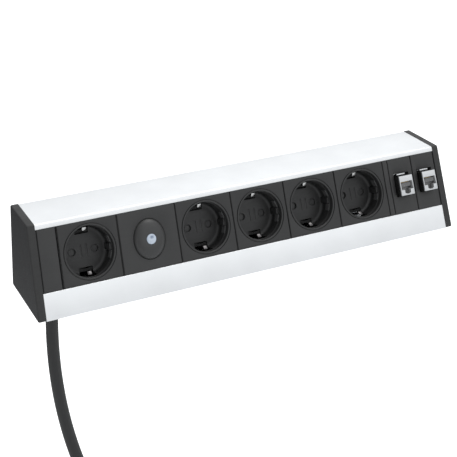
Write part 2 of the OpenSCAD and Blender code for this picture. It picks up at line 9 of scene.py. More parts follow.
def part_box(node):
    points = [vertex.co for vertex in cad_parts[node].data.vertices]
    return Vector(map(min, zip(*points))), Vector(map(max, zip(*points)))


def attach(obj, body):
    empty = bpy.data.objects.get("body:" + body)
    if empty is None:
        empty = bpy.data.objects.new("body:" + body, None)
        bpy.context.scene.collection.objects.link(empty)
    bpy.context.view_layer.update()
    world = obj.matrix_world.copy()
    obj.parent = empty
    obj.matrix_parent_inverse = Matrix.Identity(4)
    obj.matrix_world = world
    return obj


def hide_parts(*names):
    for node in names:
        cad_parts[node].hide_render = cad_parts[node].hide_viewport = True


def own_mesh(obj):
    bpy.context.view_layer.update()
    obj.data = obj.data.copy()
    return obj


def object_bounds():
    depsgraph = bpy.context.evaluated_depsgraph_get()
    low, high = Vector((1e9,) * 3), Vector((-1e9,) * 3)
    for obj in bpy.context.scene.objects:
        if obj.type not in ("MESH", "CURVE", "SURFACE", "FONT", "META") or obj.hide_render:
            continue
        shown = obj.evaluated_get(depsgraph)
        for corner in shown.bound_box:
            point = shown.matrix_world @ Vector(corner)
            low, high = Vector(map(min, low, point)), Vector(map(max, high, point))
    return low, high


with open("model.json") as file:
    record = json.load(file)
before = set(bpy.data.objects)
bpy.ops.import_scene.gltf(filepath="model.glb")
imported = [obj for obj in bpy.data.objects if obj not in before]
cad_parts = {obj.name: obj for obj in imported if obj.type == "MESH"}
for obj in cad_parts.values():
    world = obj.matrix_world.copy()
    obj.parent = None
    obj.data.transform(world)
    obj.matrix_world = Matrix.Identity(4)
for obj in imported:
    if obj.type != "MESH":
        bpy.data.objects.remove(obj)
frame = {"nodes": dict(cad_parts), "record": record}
cad_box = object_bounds()
NODES = frame["nodes"]
scene = bpy.context.scene
MM = 0.001

# ------------------------------------------------------------------ sizes, in mm, from the CAD model's own boxes
lo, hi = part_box("aluminium_profile")
X0, X1 = lo.x / MM, hi.x / MM
YB, H = hi.y / MM, hi.z / MM
YF = -YB
TOP = 44.0
RUN = (YB - YF) - TOP
SLOPE = math.atan2(H, RUN)
CA, SA = math.cos(SLOPE), math.sin(SLOPE)
BAND, PANEL = 20.6, 47.9
MID = BAND + PANEL / 2
WALL = 2.0
FRONT, BACK = -0.3, -4.05
RIM_TOP = -0.2
FLOOR = RIM_TOP - 17.5
FLOOR_BACK = FLOOR - 1.1
RIB_TOP = FLOOR + 12.5
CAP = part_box("right_end_cap")[1].x / MM - X1


def mid_x(node):
    a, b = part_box(node)
    return (a.x + b.x) / 2 / MM


SOCKETS = [mid_x("socket_%d_cover" % k) for k in range(1, 6)]
BUTTON_X = mid_x("button_cover")
DATA = [mid_x("data_cover_1"), mid_x("data_cover_2")]


def on_panel(x, s):
    """Matrix from a module's own axes (x along, y up the slope, z outwards, mm) to the row frame."""
    m = Matrix(((1, 0, 0, x), (0, CA, -SA, YF + s * CA), (0, SA, CA, s * SA), (0, 0, 0, 1)))
    return Matrix.Scale(MM, 4) @ m


def to_row():
    return Matrix.Scale(MM, 4)


# ------------------------------------------------------------------ materials
def srgb(v):
    v = v / 255.0
    return v / 12.92 if v <= 0.04045 else ((v + 0.055) / 1.055) ** 2.4


class Net:
    """Small helper that builds one node tree."""

    def __init__(self, name):
        self.mat = bpy.data.materials.new(name)
        self.mat.use_nodes = True
        self.t = self.mat.node_tree
        self.t.nodes.clear()
        self.out = self.t.nodes.new("ShaderNodeOutputMaterial")
        self.bsdf = self.t.nodes.new("ShaderNodeBsdfPrincipled")
        self.t.links.new(self.bsdf.outputs[0], self.out.inputs[0])
        self.co = self.t.nodes.new("ShaderNodeTexCoord").outputs["Object"]

    def link(self, a, b):
        self.t.links.new(a, b)

    def set(self, **kw):
        for k, v in kw.items():
            self.bsdf.inputs[k.replace("_", " ")].default_value = v
        return self

    def mapping(self, scale, co=None, rot=(0, 0, 0)):
        n = self.t.nodes.new("ShaderNodeMapping")
        n.inputs["Scale"].default_value = scale
        n.inputs["Rotation"].default_value = rot
        self.link(co or self.co, n.inputs["Vector"])
        return n.outputs[0]

    def noise(self, scale, detail=3, rough=0.5, co=None, distort=0.0):
        n = self.t.nodes.new("ShaderNodeTexNoise")
        n.inputs["Scale"].default_value = scale
        n.inputs["Detail"].default_value = detail
        n.inputs["Roughness"].default_value = rough
        n.inputs["Distortion"].default_value = distort
        self.link(co or self.co, n.inputs["Vector"])
        return n.outputs[0]

    def voronoi(self, scale, co=None, feature="F1"):
        n = self.t.nodes.new("ShaderNodeTexVoronoi")
        n.feature = feature
        n.inputs["Scale"].default_value = scale
        self.link(co or self.co, n.inputs["Vector"])
        return n.outputs["Distance"]

    def ramp(self, src, a, b, lo=0.0, hi=1.0):
        n = self.t.nodes.new("ShaderNodeMapRange")
        n.inputs["From Min"].default_value = lo
        n.inputs["From Max"].default_value = hi
        n.inputs["To Min"].default_value = a
        n.inputs["To Max"].default_value = b
        self.link(src, n.inputs["Value"])
        return n.outputs[0]

    def mix(self, fac, a, b):
        n = self.t.nodes.new("ShaderNodeMix")
        n.data_type = "RGBA"
        for sock, v in ((n.inputs[6], a), (n.inputs[7], b)):
            if isinstance(v, (tuple, list)):
                sock.default_value = tuple(v) + (1,) if len(v) == 3 else v
            else:
                self.link(v, sock)
        if isinstance(fac, (int, float)):
            n.inputs[0].default_value = fac
        else:
            self.link(fac, n.inputs[0])
        return n.outputs[2]

    def math(self, op, a, b=0.0, clamp=False):
        n = self.t.nodes.new("ShaderNodeMath")
        n.operation = op
        n.use_clamp = clamp
        for sock, v in ((n.inputs[0], a), (n.inputs[1], b)):
            if isinstance(v, (int, float)):
                sock.default_value = v
            else:
                self.link(v, sock)
        return n.outputs[0]

    def edges(self, radius, gain=6.0):
        """1 on convex and concave edges, 0 on the flat: the normal against a rounded one."""
        b = self.t.nodes.new("ShaderNodeBevel")
        b.samples = 4
        b.inputs["Radius"].default_value = radius
        g = self.t.nodes.new("ShaderNodeNewGeometry")
        d = self.t.nodes.new("ShaderNodeVectorMath")
        d.operation = "DOT_PRODUCT"
        self.link(b.outputs[0], d.inputs[0])
        self.link(g.outputs["Normal"], d.inputs[1])
        return self.math("MULTIPLY", self.math("SUBTRACT", 1.0, d.outputs["Value"]), gain, clamp=True)

    def bump(self, *layers):
        """layers: (height socket, distance m, strength)"""
        prev = None
        for h, dist, strength in layers:
            n = self.t.nodes.new("ShaderNodeBump")
            n.inputs["Distance"].default_value = dist
            n.inputs["Strength"].default_value = strength
            self.link(h, n.inputs["Height"])
            if prev is not None:
                self.link(prev, n.inputs["Normal"])
            prev = n.outputs[0]
        self.link(prev, self.bsdf.inputs["Normal"])
        return prev

    def color(self, sock):
        self.link(sock, self.bsdf.inputs["Base Color"])

    def rough(self, sock):
        self.link(sock, self.bsdf.inputs["Roughness"])


def moulded(name, base, rough=0.5, grain=0.00022, depth=0.000018, spec=0.5, shine=0.12, tint=(1, 1, 1), wear=0.35):
    """Moulded plastic: spark-eroded texture, slow tone changes, faint rub marks and slightly polished edges."""
    n = Net(name)
    slow = n.noise(45, 3, 0.55)
    fine = n.noise(1.0 / grain, 2, 0.6)
    pits = n.voronoi(0.8 / grain)
    rub = n.noise(1.0, 4, 0.6, n.mapping((90, 900, 900)), 0.4)
    a = tuple(base * t * 0.86 for t in tint)
    b = tuple(base * t * 1.14 for t in tint)
    c = n.mix(n.ramp(slow, 0, 1, 0.3, 0.7), a, b)
    c = n.mix(n.ramp(fine, 0.0, 0.35, 0.35, 0.75), c, tuple(base * t * 1.5 for t in tint))
    edge = n.edges(0.0005, 5.0)
    c = n.mix(n.math("MULTIPLY", edge, wear * 0.5), c, tuple(base * t * 2.1 for t in tint))
    n.color(c)
    r = n.ramp(slow, rough - 0.05, rough + 0.06, 0.3, 0.7)
    r = n.math("ADD", r, n.ramp(rub, -0.05, 0.05, 0.35, 0.65))
    r = n.math("SUBTRACT", r, n.math("MULTIPLY", edge, shine), clamp=True)
    n.rough(r)
    n.set(Specular_IOR_Level=spec)
    n.bump((fine, depth, 0.9), (pits, depth * 0.8, 0.6), (slow, 0.00006, 0.25))
    return n.mat


def rubbery(name, base, rough=0.6, grain=0.0003):
    n = Net(name)
    slow = n.noise(60, 4, 0.6)
    fine = n.noise(1.0 / grain, 3, 0.65)
    dust = n.noise(420, 5, 0.7)
    c = n.mix(n.ramp(slow, 0, 1, 0.3, 0.7), (base * 0.85,) * 3, (base * 1.15,) * 3)
    c = n.mix(n.ramp(dust, 0.0, 0.3, 0.62, 0.8), c, (base * 2.4, base * 2.3, base * 2.2))
    n.color(c)
    n.rough(n.ramp(slow, rough - 0.06, rough + 0.06, 0.3, 0.7))
    n.set(Specular_IOR_Level=0.45)
    n.bump((fine, 0.00003, 0.8), (slow, 0.0001, 0.3))
    return n.mat


def metal(name, col, rough, grain_scale=(900, 9000, 9000), depth=0.000006, metallic=1.0, spots=0.0, bump=0.5, wear=0.0, aniso=0.0):
    n = Net(name)
    grain = n.noise(1.0, 3, 0.7, n.mapping(grain_scale))
    slow = n.noise(30, 3, 0.5)
    fine = n.noise(3500, 2, 0.6)
    a = tuple(c * 0.965 for c in col)
    b = tuple(min(1.0, c * 1.03) for c in col)
    c = n.mix(n.ramp(slow, 0, 1, 0.3, 0.7), a, b)
    c = n.mix(n.ramp(grain, 0, 0.10, 0.3, 0.7), c, tuple(x * 0.8 for x in col))
    if spots:
        c = n.mix(n.ramp(n.noise(1400, 3, 0.7), 0, spots, 0.55, 0.75), c, tuple(x * 0.6 for x in col))
    edge = n.edges(0.0004, 5.0)
    if wear:
        c = n.mix(n.math("MULTIPLY", edge, wear), c, tuple(min(1.0, x * 1.15) for x in col))
    n.color(c)
    r = n.math("ADD", n.ramp(slow, rough - 0.03, rough + 0.03, 0.3, 0.7), n.ramp(grain, -0.04, 0.04, 0.3, 0.7))
    n.rough(n.math("SUBTRACT", r, n.math("MULTIPLY", edge, 0.08), clamp=True))
    n.set(Metallic=metallic)
    if aniso:
        n.set(Anisotropic=aniso)
    n.bump((grain, depth, bump), (fine, depth, 0.35))
    return n.mat


def make_materials():
    m = {}
    # satin anodised aluminium: grain along the extrusion, a very fine matt bloom
    m["anodised_aluminium"] = metal("anodised_aluminium", (0.895, 0.908, 0.918), 0.36, (35, 5200, 5200), 0.0000045, 0.82, 0.0, 0.45, 0.5)
    m["cap_plastic"] = moulded("cap_plastic", 0.023, 0.56, 0.00030, 0.00002)
    m["plate_plastic"] = moulded("plate_plastic", 0.030, 0.47, 0.00022, 0.000015)
    m["socket_plastic"] = moulded("socket_plastic", 0.022, 0.42, 0.00022, 0.000012)
    m["shutter_plastic"] = moulded("shutter_plastic", 0.030, 0.45, 0.00022, 0.00001)
    m["carrier_plastic"] = moulded("carrier_plastic", 0.008, 0.6, 0.0003, 0.00002)
    m["dome_plastic"] = moulded("dome_plastic", 0.036, 0.38, 0.0002, 0.000006)
    m["black_moulding"] = moulded("black_moulding", 0.02, 0.5)
    m["terminal_plastic"] = moulded("terminal_plastic", 0.62, 0.45, tint=(1, 1, 0.95))
    m["nickel_strip"] = metal("nickel_strip", (0.66, 0.66, 0.65), 0.27, (2500, 2500, 500), 0.000004, 1.0, 0.2)
    # a darker copy of the nickel, used on the lower tongues as painted shade
    m["nickel_painted_shade"] = metal("nickel_painted_shade", (0.13, 0.125, 0.125), 0.22, (2500, 2500, 500), 0.000004, 1.0, 0.4)
    m["spring_steel"] = metal("spring_steel", (0.55, 0.55, 0.57), 0.3)
    m["screw_steel"] = metal("screw_steel", (0.66, 0.66, 0.68), 0.33, (3000, 3000, 3000), 0.000006, 1.0, 0.25)
    m["contact_brass"] = metal("contact_brass", (0.78, 0.58, 0.27), 0.33, (400, 6000, 6000), 0.000005, 1.0, 0.25)
    m["circuit_board"] = moulded("circuit_board", 0.10, 0.3, tint=(0.3, 1, 0.5))
    m["jack_zinc"] = metal("jack_zinc", (0.67, 0.68, 0.69), 0.42, (1800, 1800, 1800), 0.00001, 1.0, 0.3, 0.6, 0.3)
    m["jack_black"] = moulded("jack_black", 0.008, 0.5, 0.0003, 0.00001)
    m["comb_plastic"] = moulded("comb_plastic", 0.24, 0.4, 0.0003, 0.00001)
    m["pad_plastic"] = moulded("pad_plastic", 0.075, 0.35, 0.0003, 0.00001)
    m["latch_steel"] = metal("latch_steel", (0.70, 0.71, 0.72), 0.33, (500, 5000, 5000), 0.000006, 1.0, 0.2)
    m["gold_contacts"] = metal("gold_contacts", (0.86, 0.62, 0.27), 0.28, (5000, 5000, 600), 0.000004)
    m["brown_insulation"] = rubbery("brown_insulation", 0.06, 0.4)
    m["blue_insulation"] = moulded("blue_insulation", 0.25, 0.38, tint=(0.15, 0.4, 1))
    n = Net("green_yellow_insulation")
    w = n.t.nodes.new("ShaderNodeTexWave")
    w.inputs["Scale"].default_value = 60
    w.inputs["Distortion"].default_value = 0.4
    n.link(n.mapping((1, 1, 1), None, (0.4, 0.9, 0.2)), w.inputs["Vector"])
    n.color(n.mix(n.ramp(w.outputs["Fac"], 0, 1, 0.45, 0.55), (0.62, 0.55, 0.03), (0.03, 0.22, 0.04)))
    n.rough(n.ramp(n.noise(500), 0.35, 0.5))
    n.bump((n.noise(2500), 0.00001, 0.5))
    m["green_yellow_insulation"] = n.mat
    m["bushing_rubber"] = rubbery("bushing_rubber", 0.022, 0.62)
    m["cable_rubber"] = rubbery("cable_rubber", 0.019, 0.58, 0.00035)
    m["plug_rubber"] = rubbery("plug_rubber", 0.022, 0.55)
    m["pin_nickel"] = metal("pin_nickel", (0.74, 0.73, 0.70), 0.22, (800, 800, 6000), 0.000003)
    # clear frosted lens; its colour carries painted light and shade: brighter towards the bottom and the rim, a dark
    # crescent at the top, with a faint glow of the same colour
    n = Net("button_lens")
    n.set(Roughness=0.16, Specular_IOR_Level=0.6)
    n.bsdf.inputs["Coat Weight"].default_value = 0.6
    n.bsdf.inputs["Coat Roughness"].default_value = 0.05
    return m, n


MATS, LENS = make_materials()


def finish_lens(n):
    """Paints light and shade into the lens colour, in its own disc axes: u across, v up the slope, from the button's
    centre.
    """
    t = n.t
    mp = t.nodes.new("ShaderNodeMapping")
    mp.vector_type = "TEXTURE"
    o = on_panel(BUTTON_X, MID).to_translation()
    mp.inputs["Location"].default_value = o
    mp.inputs["Rotation"].default_value = (SLOPE, 0, 0)
    mp.inputs["Scale"].default_value = (0.0040, 0.0040, 0.0040)
    n.link(n.co, mp.inputs["Vector"])
    sep = t.nodes.new("ShaderNodeSeparateXYZ")
    n.link(mp.outputs[0], sep.inputs[0])
    u, v = sep.outputs[0], sep.outputs[1]
    r2 = n.math("ADD", n.math("MULTIPLY", u, u), n.math("MULTIPLY", v, v))
    # painted shade, a dark crescent: inside a circle round (0.1, 0.42), outside one round (0.0, 0.0)
    du = n.math("SUBTRACT", u, 0.08)
    dv = n.math("SUBTRACT", v, 0.40)
    d = n.math("SQRT", n.math("ADD", n.math("MULTIPLY", du, du), n.math("MULTIPLY", n.math("MULTIPLY", dv, dv), 1.9)))
    painted_shade_core = n.ramp(d, 1.0, 0.0, 0.10, 0.62)
    frost = n.noise(1600, 3, 0.7)
    # painted rim light: the colour lightens towards the lens's rim
    edge = n.ramp(r2, 0.0, 1.0, 0.55, 1.0)
    c = n.mix(painted_shade_core, (0.50, 0.57, 0.66), (0.08, 0.13, 0.23))
    c = n.mix(n.math("MULTIPLY", edge, 0.6), c, (0.36, 0.43, 0.55))
    c = n.mix(n.ramp(frost, 0, 0.3, 0.4, 0.75), c, (0.70, 0.76, 0.85))
    n.color(c)
    # the painted colour also drives a faint emission, so the lens glows a little
    n.link(c, n.bsdf.inputs["Emission Color"])
    n.bsdf.inputs["Emission Strength"].default_value = 0.05
    n.bump((frost, 0.00003, 0.5), (n.noise(4200, 2, 0.6), 0.00001, 0.4))
    return n.mat


MATS["button_lens"] = finish_lens(LENS)
RECORD_SLOT = {s["node"]: s["material_slot"] for s in frame["record"]["subparts"]}

for name, ob in NODES.items():
    ob.data.materials.clear()
    ob.data.materials.append(MATS[RECORD_SLOT[name]])


# ------------------------------------------------------------------ mesh helpers
def rounded(pts, rs, n=6):
    out = []
    m = len(pts)
    for i in range(m):
        p, r = Vector(pts[i]), rs[i]
        if r <= 0:
            out.append(tuple(p))
            continue
        a, b = Vector(pts[i - 1]), Vector(pts[(i + 1) % m])
        u, v = (a - p).normalized(), (b - p).normalized()
        t = math.acos(max(-1, min(1, u.dot(v)))) / 2
        o = p + (u + v).normalized() * (r / math.sin(t))
        s, e = p + u * (r / math.tan(t)) - o, p + v * (r / math.tan(t)) - o
        g = 1 if s.x * e.y - s.y * e.x > 0 else -1
        for k in range(n + 1):
            an = g * (math.pi - 2 * t) * k / n
            out.append((o.x + s.x * math.cos(an) - s.y * math.sin(an), o.y + s.x * math.sin(an) + s.y * math.cos(an)))
    return out


def prism(poly, a, b, axis="z", cuts=1):
    """Closed prism of a polygon between a and b. axis x takes the polygon as (y, z)."""
    bm = bmesh.new()
    rows = []
    for k in range(cuts + 1):
        t = a + (b - a) * k / cuts
        rows.append([bm.verts.new((t, p[0], p[1]) if axis == "x" else (p[0], p[1], t)) for p in poly])
    m = len(poly)
    for r0, r1 in zip(rows, rows[1:]):
        for i in range(m):
            bm.faces.new((r0[i], r0[(i + 1) % m], r1[(i + 1) % m], r1[i]))
    bm.faces.new(rows[0][::-1])
    bm.faces.new(rows[-1])
    bmesh.ops.recalc_face_normals(bm, faces=bm.faces)
    return bm


def stack(loops, close_start=True, close_end=True):
    """Closed skin through loops of equal length; a loop may be a single point."""
    bm = bmesh.new()
    rows = [[bm.verts.new(p) for p in l] for l in loops]
    for r0, r1 in zip(rows, rows[1:]):
        m = max(len(r0), len(r1))
        for i in range(m):
            j = (i + 1) % m
            if len(r0) == 1:
                bm.faces.new((r0[0], r1[j], r1[i]))
            elif len(r1) == 1:
                bm.faces.new((r0[i], r0[j], r1[0]))
            else:
                bm.faces.new((r0[i], r0[j], r1[j], r1[i]))
    if close_start and len(rows[0]) > 1:
        bm.faces.new(rows[0][::-1])
    if close_end and len(rows[-1]) > 1:
        bm.faces.new(rows[-1])
    bmesh.ops.recalc_face_normals(bm, faces=bm.faces)
    return bm


def ring(r, z, n=96, cx=0.0, cy=0.0, phase=0.0, ry=None):
    ry = r if ry is None else ry
    return [(cx + r * math.cos(phase + 2 * math.pi * i / n), cy + ry * math.sin(phase + 2 * math.pi * i / n), z) for i in range(n)]


def lathe(profile, n=96, cx=0.0, cy=0.0):
    return stack([[(cx, cy, z)] if r <= 0 else ring(r, z, n, cx, cy) for r, z in profile], False, False)


def torus_like(profile, n=96, cx=0.0, cy=0.0):
    """Ring of a closed (r, z) section."""
    bm = bmesh.new()
    rows = [[bm.verts.new(p) for p in ring(r, z, n, cx, cy)] for r, z in profile]
    m = len(rows)
    for k in range(m):
        for i in range(n):
            bm.faces.new((rows[k][i], rows[k][(i + 1) % n], rows[(k + 1) % m][(i + 1) % n], rows[(k + 1) % m][i]))
    bmesh.ops.recalc_face_normals(bm, faces=bm.faces)
    return bm


def block(x0, x1, y0, y1, z0, z1, r=0.0, seg=3):
    bm = bmesh.new()
    bmesh.ops.create_cube(bm, size=1.0)
    for v in bm.verts:
        v.co = Vector((x0 if v.co.x < 0 else x1, y0 if v.co.y < 0 else y1, z0 if v.co.z < 0 else z1))
    if r > 0:
        bmesh.ops.bevel(bm, geom=list(bm.edges), offset=r, segments=seg, profile=0.5, affect="EDGES", clamp_overlap=True)
    bmesh.ops.recalc_face_normals(bm, faces=bm.faces)
    return bm


def merge(*bms):
    out = bmesh.new()
    for b in bms:
        tmp = bpy.data.meshes.new("tmp")
        b.to_mesh(tmp)
        out.from_mesh(tmp)
        bpy.data.meshes.remove(tmp)
        b.free()
    return out


def mesh_of(bm, name):
    me = bpy.data.meshes.new(name)
    bm.to_mesh(me)
    bm.free()
    return me


def tmp_obj(bm, name="tmp"):
    ob = bpy.data.objects.new(name, mesh_of(bm, name))
    scene.collection.objects.link(ob)
    return ob


def bake(ob):
    """Applies every modifier of ob to its mesh."""
    dg = bpy.context.evaluated_depsgraph_get()
    dg.update()
    me = bpy.data.meshes.new_from_object(ob.evaluated_get(dg))
    old = ob.data
    ob.modifiers.clear()
    ob.data = me
    bpy.data.meshes.remove(old)
    return ob


def boolean(bm, cutters, op="DIFFERENCE"):
    """Exact boolean of a bmesh with a list of bmeshes; returns a bmesh."""
    ob = tmp_obj(bm, "base")
    extra = []
    for c in cutters:
        co = tmp_obj(c, "cut")
        extra.append(co)
        md = ob.modifiers.new("b", "BOOLEAN")
        md.operation = op
        md.solver = "EXACT"
        md.object = co
    bake(ob)
    out = bmesh.new()
    out.from_mesh(ob.data)
    for o in extra + [ob]:
        me = o.data
        bpy.data.objects.remove(o)
        bpy.data.meshes.remove(me)
    return out


def piece(name, bm, slot, body="strip", nodes=(), matrix=None, angle=38, bevel=0.0, seg=2, bevel_angle=40, mats=None):
    if matrix is None:
        matrix = to_row()
    bmesh.ops.remove_doubles(bm, verts=bm.verts, dist=0.0005)
    ob = tmp_obj(bm, name)
    if bevel > 0:
        md = ob.modifiers.new("bevel", "BEVEL")
        md.width = bevel
        md.segments = seg
        md.limit_method = "ANGLE"
        md.angle_limit = math.radians(bevel_angle)
        md.miter_outer = "MITER_ARC"
        bake(ob)
    ob.name = name
    ob.data.name = name
    ob.data.transform(matrix)
    ob.data.shade_smooth()
    ob.data.set_sharp_from_angle(angle=math.radians(angle))
    ob.data.materials.clear()
    for m in (mats or [MATS[slot]]):
        ob.data.materials.append(m)
    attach(ob, body)
    if nodes:
        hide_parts(*nodes)
    return ob


# ------------------------------------------------------------------ housing
def slope_pt(s, h):
    return (YF + s * CA - h * SA, s * SA + h * CA)


def arc(c, r, a0, a1, n):
    return [(c[0] + r * math.cos(math.radians(a0 + (a1 - a0) * k / n)), c[1] + r * math.sin(math.radians(a0 + (a1 - a0) * k / n))) for k in range(n + 1)]


def housing():
    """Extruded channel as one section: outer skin, rolled lips and rails."""
    lip = 0.45
    L = math.hypot(RUN, H)
    pts, rs = [], []

    def add(p, r=0.0):
        pts.append(p)
        rs.append(r)
    # lower lip: outer edge, then down and round the outside
    add(slope_pt(BAND, 0), lip)
    add((YF, 0), 0.4)
    add((YB, 0), 0.6)
    add((YB, H), 1.0)
    add((YF + RUN, H), 1.4)
    add(slope_pt(BAND + PANEL, 0), lip)
    # upper rail, behind the lip
    add(slope_pt(BAND + PANEL, -2.0), 0.15)
    add(slope_pt(BAND + PANEL + 2.0, -2.0), 0.1)
    add(slope_pt(BAND + PANEL + 2.0, -4.3), 0.1)
    add(slope_pt(BAND + PANEL, -4.3), 0.15)
    add(slope_pt(BAND + PANEL, -5.9), 0.3)
    k = WALL / SA
    top_in = H - WALL
    t = (BAND + PANEL + 3.5)
    # back up to the inner side of the top
    add((slope_pt(t, -5.9)[0] + 1.2, top_in), 0.3) if slope_pt(t, -5.9)[1] > top_in else add((slope_pt(t, -5.9)[0] + 1.6, top_in), 0.3)
    add((YB - WALL, top_in), 0.6)
    add((YB - WALL, WALL), 0.6)
    add((YF + WALL * RUN / H + k, WALL), 0.6)
    # inside of the lower band, then the lower rail
    add(slope_pt(BAND - 3.5, -WALL), 0.3)
    add(slope_pt(BAND - 3.5, -5.9), 0.3)
    add(slope_pt(BAND, -5.9), 0.3)
    add(slope_pt(BAND, -4.3), 0.15)
    add(slope_pt(BAND - 2.0, -4.3), 0.1)
    add(slope_pt(BAND - 2.0, -2.0), 0.1)
    add(slope_pt(BAND, -2.0), 0.15)
    bm = prism(rounded(pts, rs, 5), X0, X1, "x")
    cable_x = (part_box("cable_bushing")[0].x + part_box("cable_bushing")[1].x) / 2 / MM
    cable_z = (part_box("cable_bushing")[0].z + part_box("cable_bushing")[1].z) / 2 / MM
    hole = lathe([(0, YB - 5), (8.1, YB - 5), (8.1, YB + 3), (0, YB + 3)], 64)
    bmesh.ops.transform(hole, matrix=Matrix(((1, 0, 0, cable_x), (0, 0, 1, 0), (0, 1, 0, cable_z), (0, 0, 0, 1))), verts=hole.verts)
    bmesh.ops.recalc_face_normals(hole, faces=hole.faces)
    win = rounded([(DATA[0] - 10, 12), (DATA[1] + 10, 12), (DATA[1] + 10, 38), (DATA[0] - 10, 38)], [1.5] * 4, 6)
    wb = stack([[(p[0], y, p[1]) for p in win] for y in (YB - 5, YB + 3)])
    bm = boolean(bm, [hole, wb])
    return piece("housing_extrusion", bm, "anodised_aluminium", nodes=["aluminium_profile"], angle=30)


def end_cap(side):
    """Moulded cap: plate with a rolled outer edge and pegs on its inner face."""
    q = 0.35
    k = q / SA
    skin = [(YF - k, 0), (YB + q, 0), (YB + q, H + q), (YF + (H + q) * RUN / H - k, H + q)]
    corners = [1.4, 1.2, 1.2, 1.5]
    poly = rounded(skin, corners, 10)
    xa, xb = X1 + 0.02, X1 + CAP
    bm = bmesh.new()
    r = 1.2
    steps = 8
    n = len(poly)
    # inset loops follow the outline's own normals
    cx = sum(p[0] for p in poly) / n
    cy = sum(p[1] for p in poly) / n
    inner_corners = skin

    def inset(d):
        """Outline moved inwards by d, keeping the corner count."""
        m = len(skin)
        lines = []
        for i in range(m):
            a, b = Vector(skin[i]), Vector(skin[(i + 1) % m])
            u = (b - a).normalized()
            nrm = Vector((-u.y, u.x))
            if nrm.dot(Vector((cx, cy)) - a) < 0:
                nrm = -nrm
            lines.append((a + nrm * d, u))
        pts = []
        for i in range(m):
            (p, u), (w, v) = lines[i - 1], lines[i]
            den = u.x * v.y - u.y * v.x
            tt = ((w.x - p.x) * v.y - (w.y - p.y) * v.x) / den
            pts.append(tuple(p + u * tt))
        return rounded(pts, [max(0.3, rc - d * 0.72) for rc in corners], 10)
    loops = [[(xa, *p) for p in inset(0.25)], [(xa + 0.25, *p) for p in poly], [(xb - r, *p) for p in poly]]
    for s in range(1, steps + 1):
        a = math.pi / 2 * s / steps
        loops.append([(xb - r + r * math.sin(a), *p) for p in inset(r * (1 - math.cos(a)))])
    bm = stack(loops)
    pegs = []
    for b in ((YB - 4.5, 4.5), (YB - 4.5, H - 4.5), (YF + 6.5, 4.5), (4, H - 4.5)):
        c = lathe([(0, X1 - 9), (1.4, X1 - 9), (1.8, X1 - 8.5), (1.8, X1 + 1), (0, X1 + 1)], 32)
        bmesh.ops.transform(c, matrix=Matrix(((0, 0, 1, 0), (1, 0, 0, b[0]), (0, 1, 0, b[1]), (0, 0, 0, 1))), verts=c.verts)
        pegs.append(c)
    bm = boolean(bm, pegs, "UNION")
    if side < 0:
        bmesh.ops.scale(bm, vec=(-1, 1, 1), verts=bm.verts)
        bmesh.ops.reverse_faces(bm, faces=bm.faces)
    name = "left" if side < 0 else "right"
    return piece(name + "_cap_shell", bm, "cap_plastic", nodes=[name + "_end_cap"], angle=40)


# ------------------------------------------------------------------ front plates
def plate_loops(w, n, hole, back=True):
    """Loops from the hole's edge (list of n points at front height) out over the chamfer to the back of a w wide plate."""
    half = PANEL / 2 - 0.12

    def rect(x, y, z, r):
        # n points: corners fall on points 0, n/4, ...; start at the top right corner, anticlockwise
        q = n // 4
        c = [(x, y), (-x, y), (-x, -y), (x, -y)]
        out = []
        for k in range(4):
            a, b = c[k], c[(k + 1) % 4]
            for i in range(q):
                t = i / q
                p = [a[0] + (b[0] - a[0]) * t, a[1] + (b[1] - a[1]) * t]
                if i == 0 and r > 0:  # pull the corner in a little
                    p = [p[0] - math.copysign(r, p[0]) * 0.3, p[1] - math.copysign(r, p[1]) * 0.3]
                out.append((p[0], p[1], z))
        return out
    c = 0.65
    f = FRONT
    loops = [hole]
    loops.append(rect(w / 2 - c - 0.9, half - 0.25 - 0.9, f, 0))
    loops.append(rect(w / 2 - c, half - 0.25, f, 0.2))
    loops.append(rect(w / 2 - c * 0.62, half - 0.17, f - 0.03, 0.2))
    loops.append(rect(w / 2 - c * 0.3, half - 0.08, f - 0.10, 0.2))
    loops.append(rect(w / 2 - c * 0.08, half - 0.02, f - 0.20, 0.2))
    loops.append(rect(w / 2, half, f - 0.34, 0.2))
    # a step behind the joint line, so that nothing shows through between two plates
    loops.append(rect(w / 2, half, f - 1.2, 0.2))
    loops.append(rect(w / 2 + LIP, half, f - 1.2, 0.2))
    loops.append(rect(w / 2 + LIP, half, BACK + 0.0, 0.2))
    return loops


def blank_plate(name, x, w, nodes):
    c = 0.65
    half = PANEL / 2 - 0.12

    def r(xx, yy, z, k):
        return [(p[0], p[1], z) for p in rounded([(xx, yy), (-xx, yy), (-xx, -yy), (xx, -yy)], [k] * 4, 3)]
    loops = [r(w / 2 + LIP, half, BACK, 0.3), r(w / 2 + LIP, half, FRONT - 1.2, 0.3), r(w / 2, half, FRONT - 1.2, 0.3), r(w / 2, half, FRONT - 0.34, 0.3), r(w / 2 - c * 0.08, half - 0.02, FRONT - 0.20, 0.3),
             r(w / 2 - c * 0.3, half - 0.08, FRONT - 0.10, 0.3), r(w / 2 - c * 0.62, half - 0.17, FRONT - 0.03, 0.3), r(w / 2 - c, half - 0.25, FRONT, 0.3)]
    bm = stack(loops)
    fl = block(-w / 2, w / 2, -PANEL / 2 - 1.75, PANEL / 2 + 1.75, BACK, BACK + 1.85, 0.15, 2)
    bm = boolean(bm, [fl], "UNION")
    return piece(name, bm, "plate_plastic", nodes=nodes, matrix=on_panel(x, MID), angle=50)


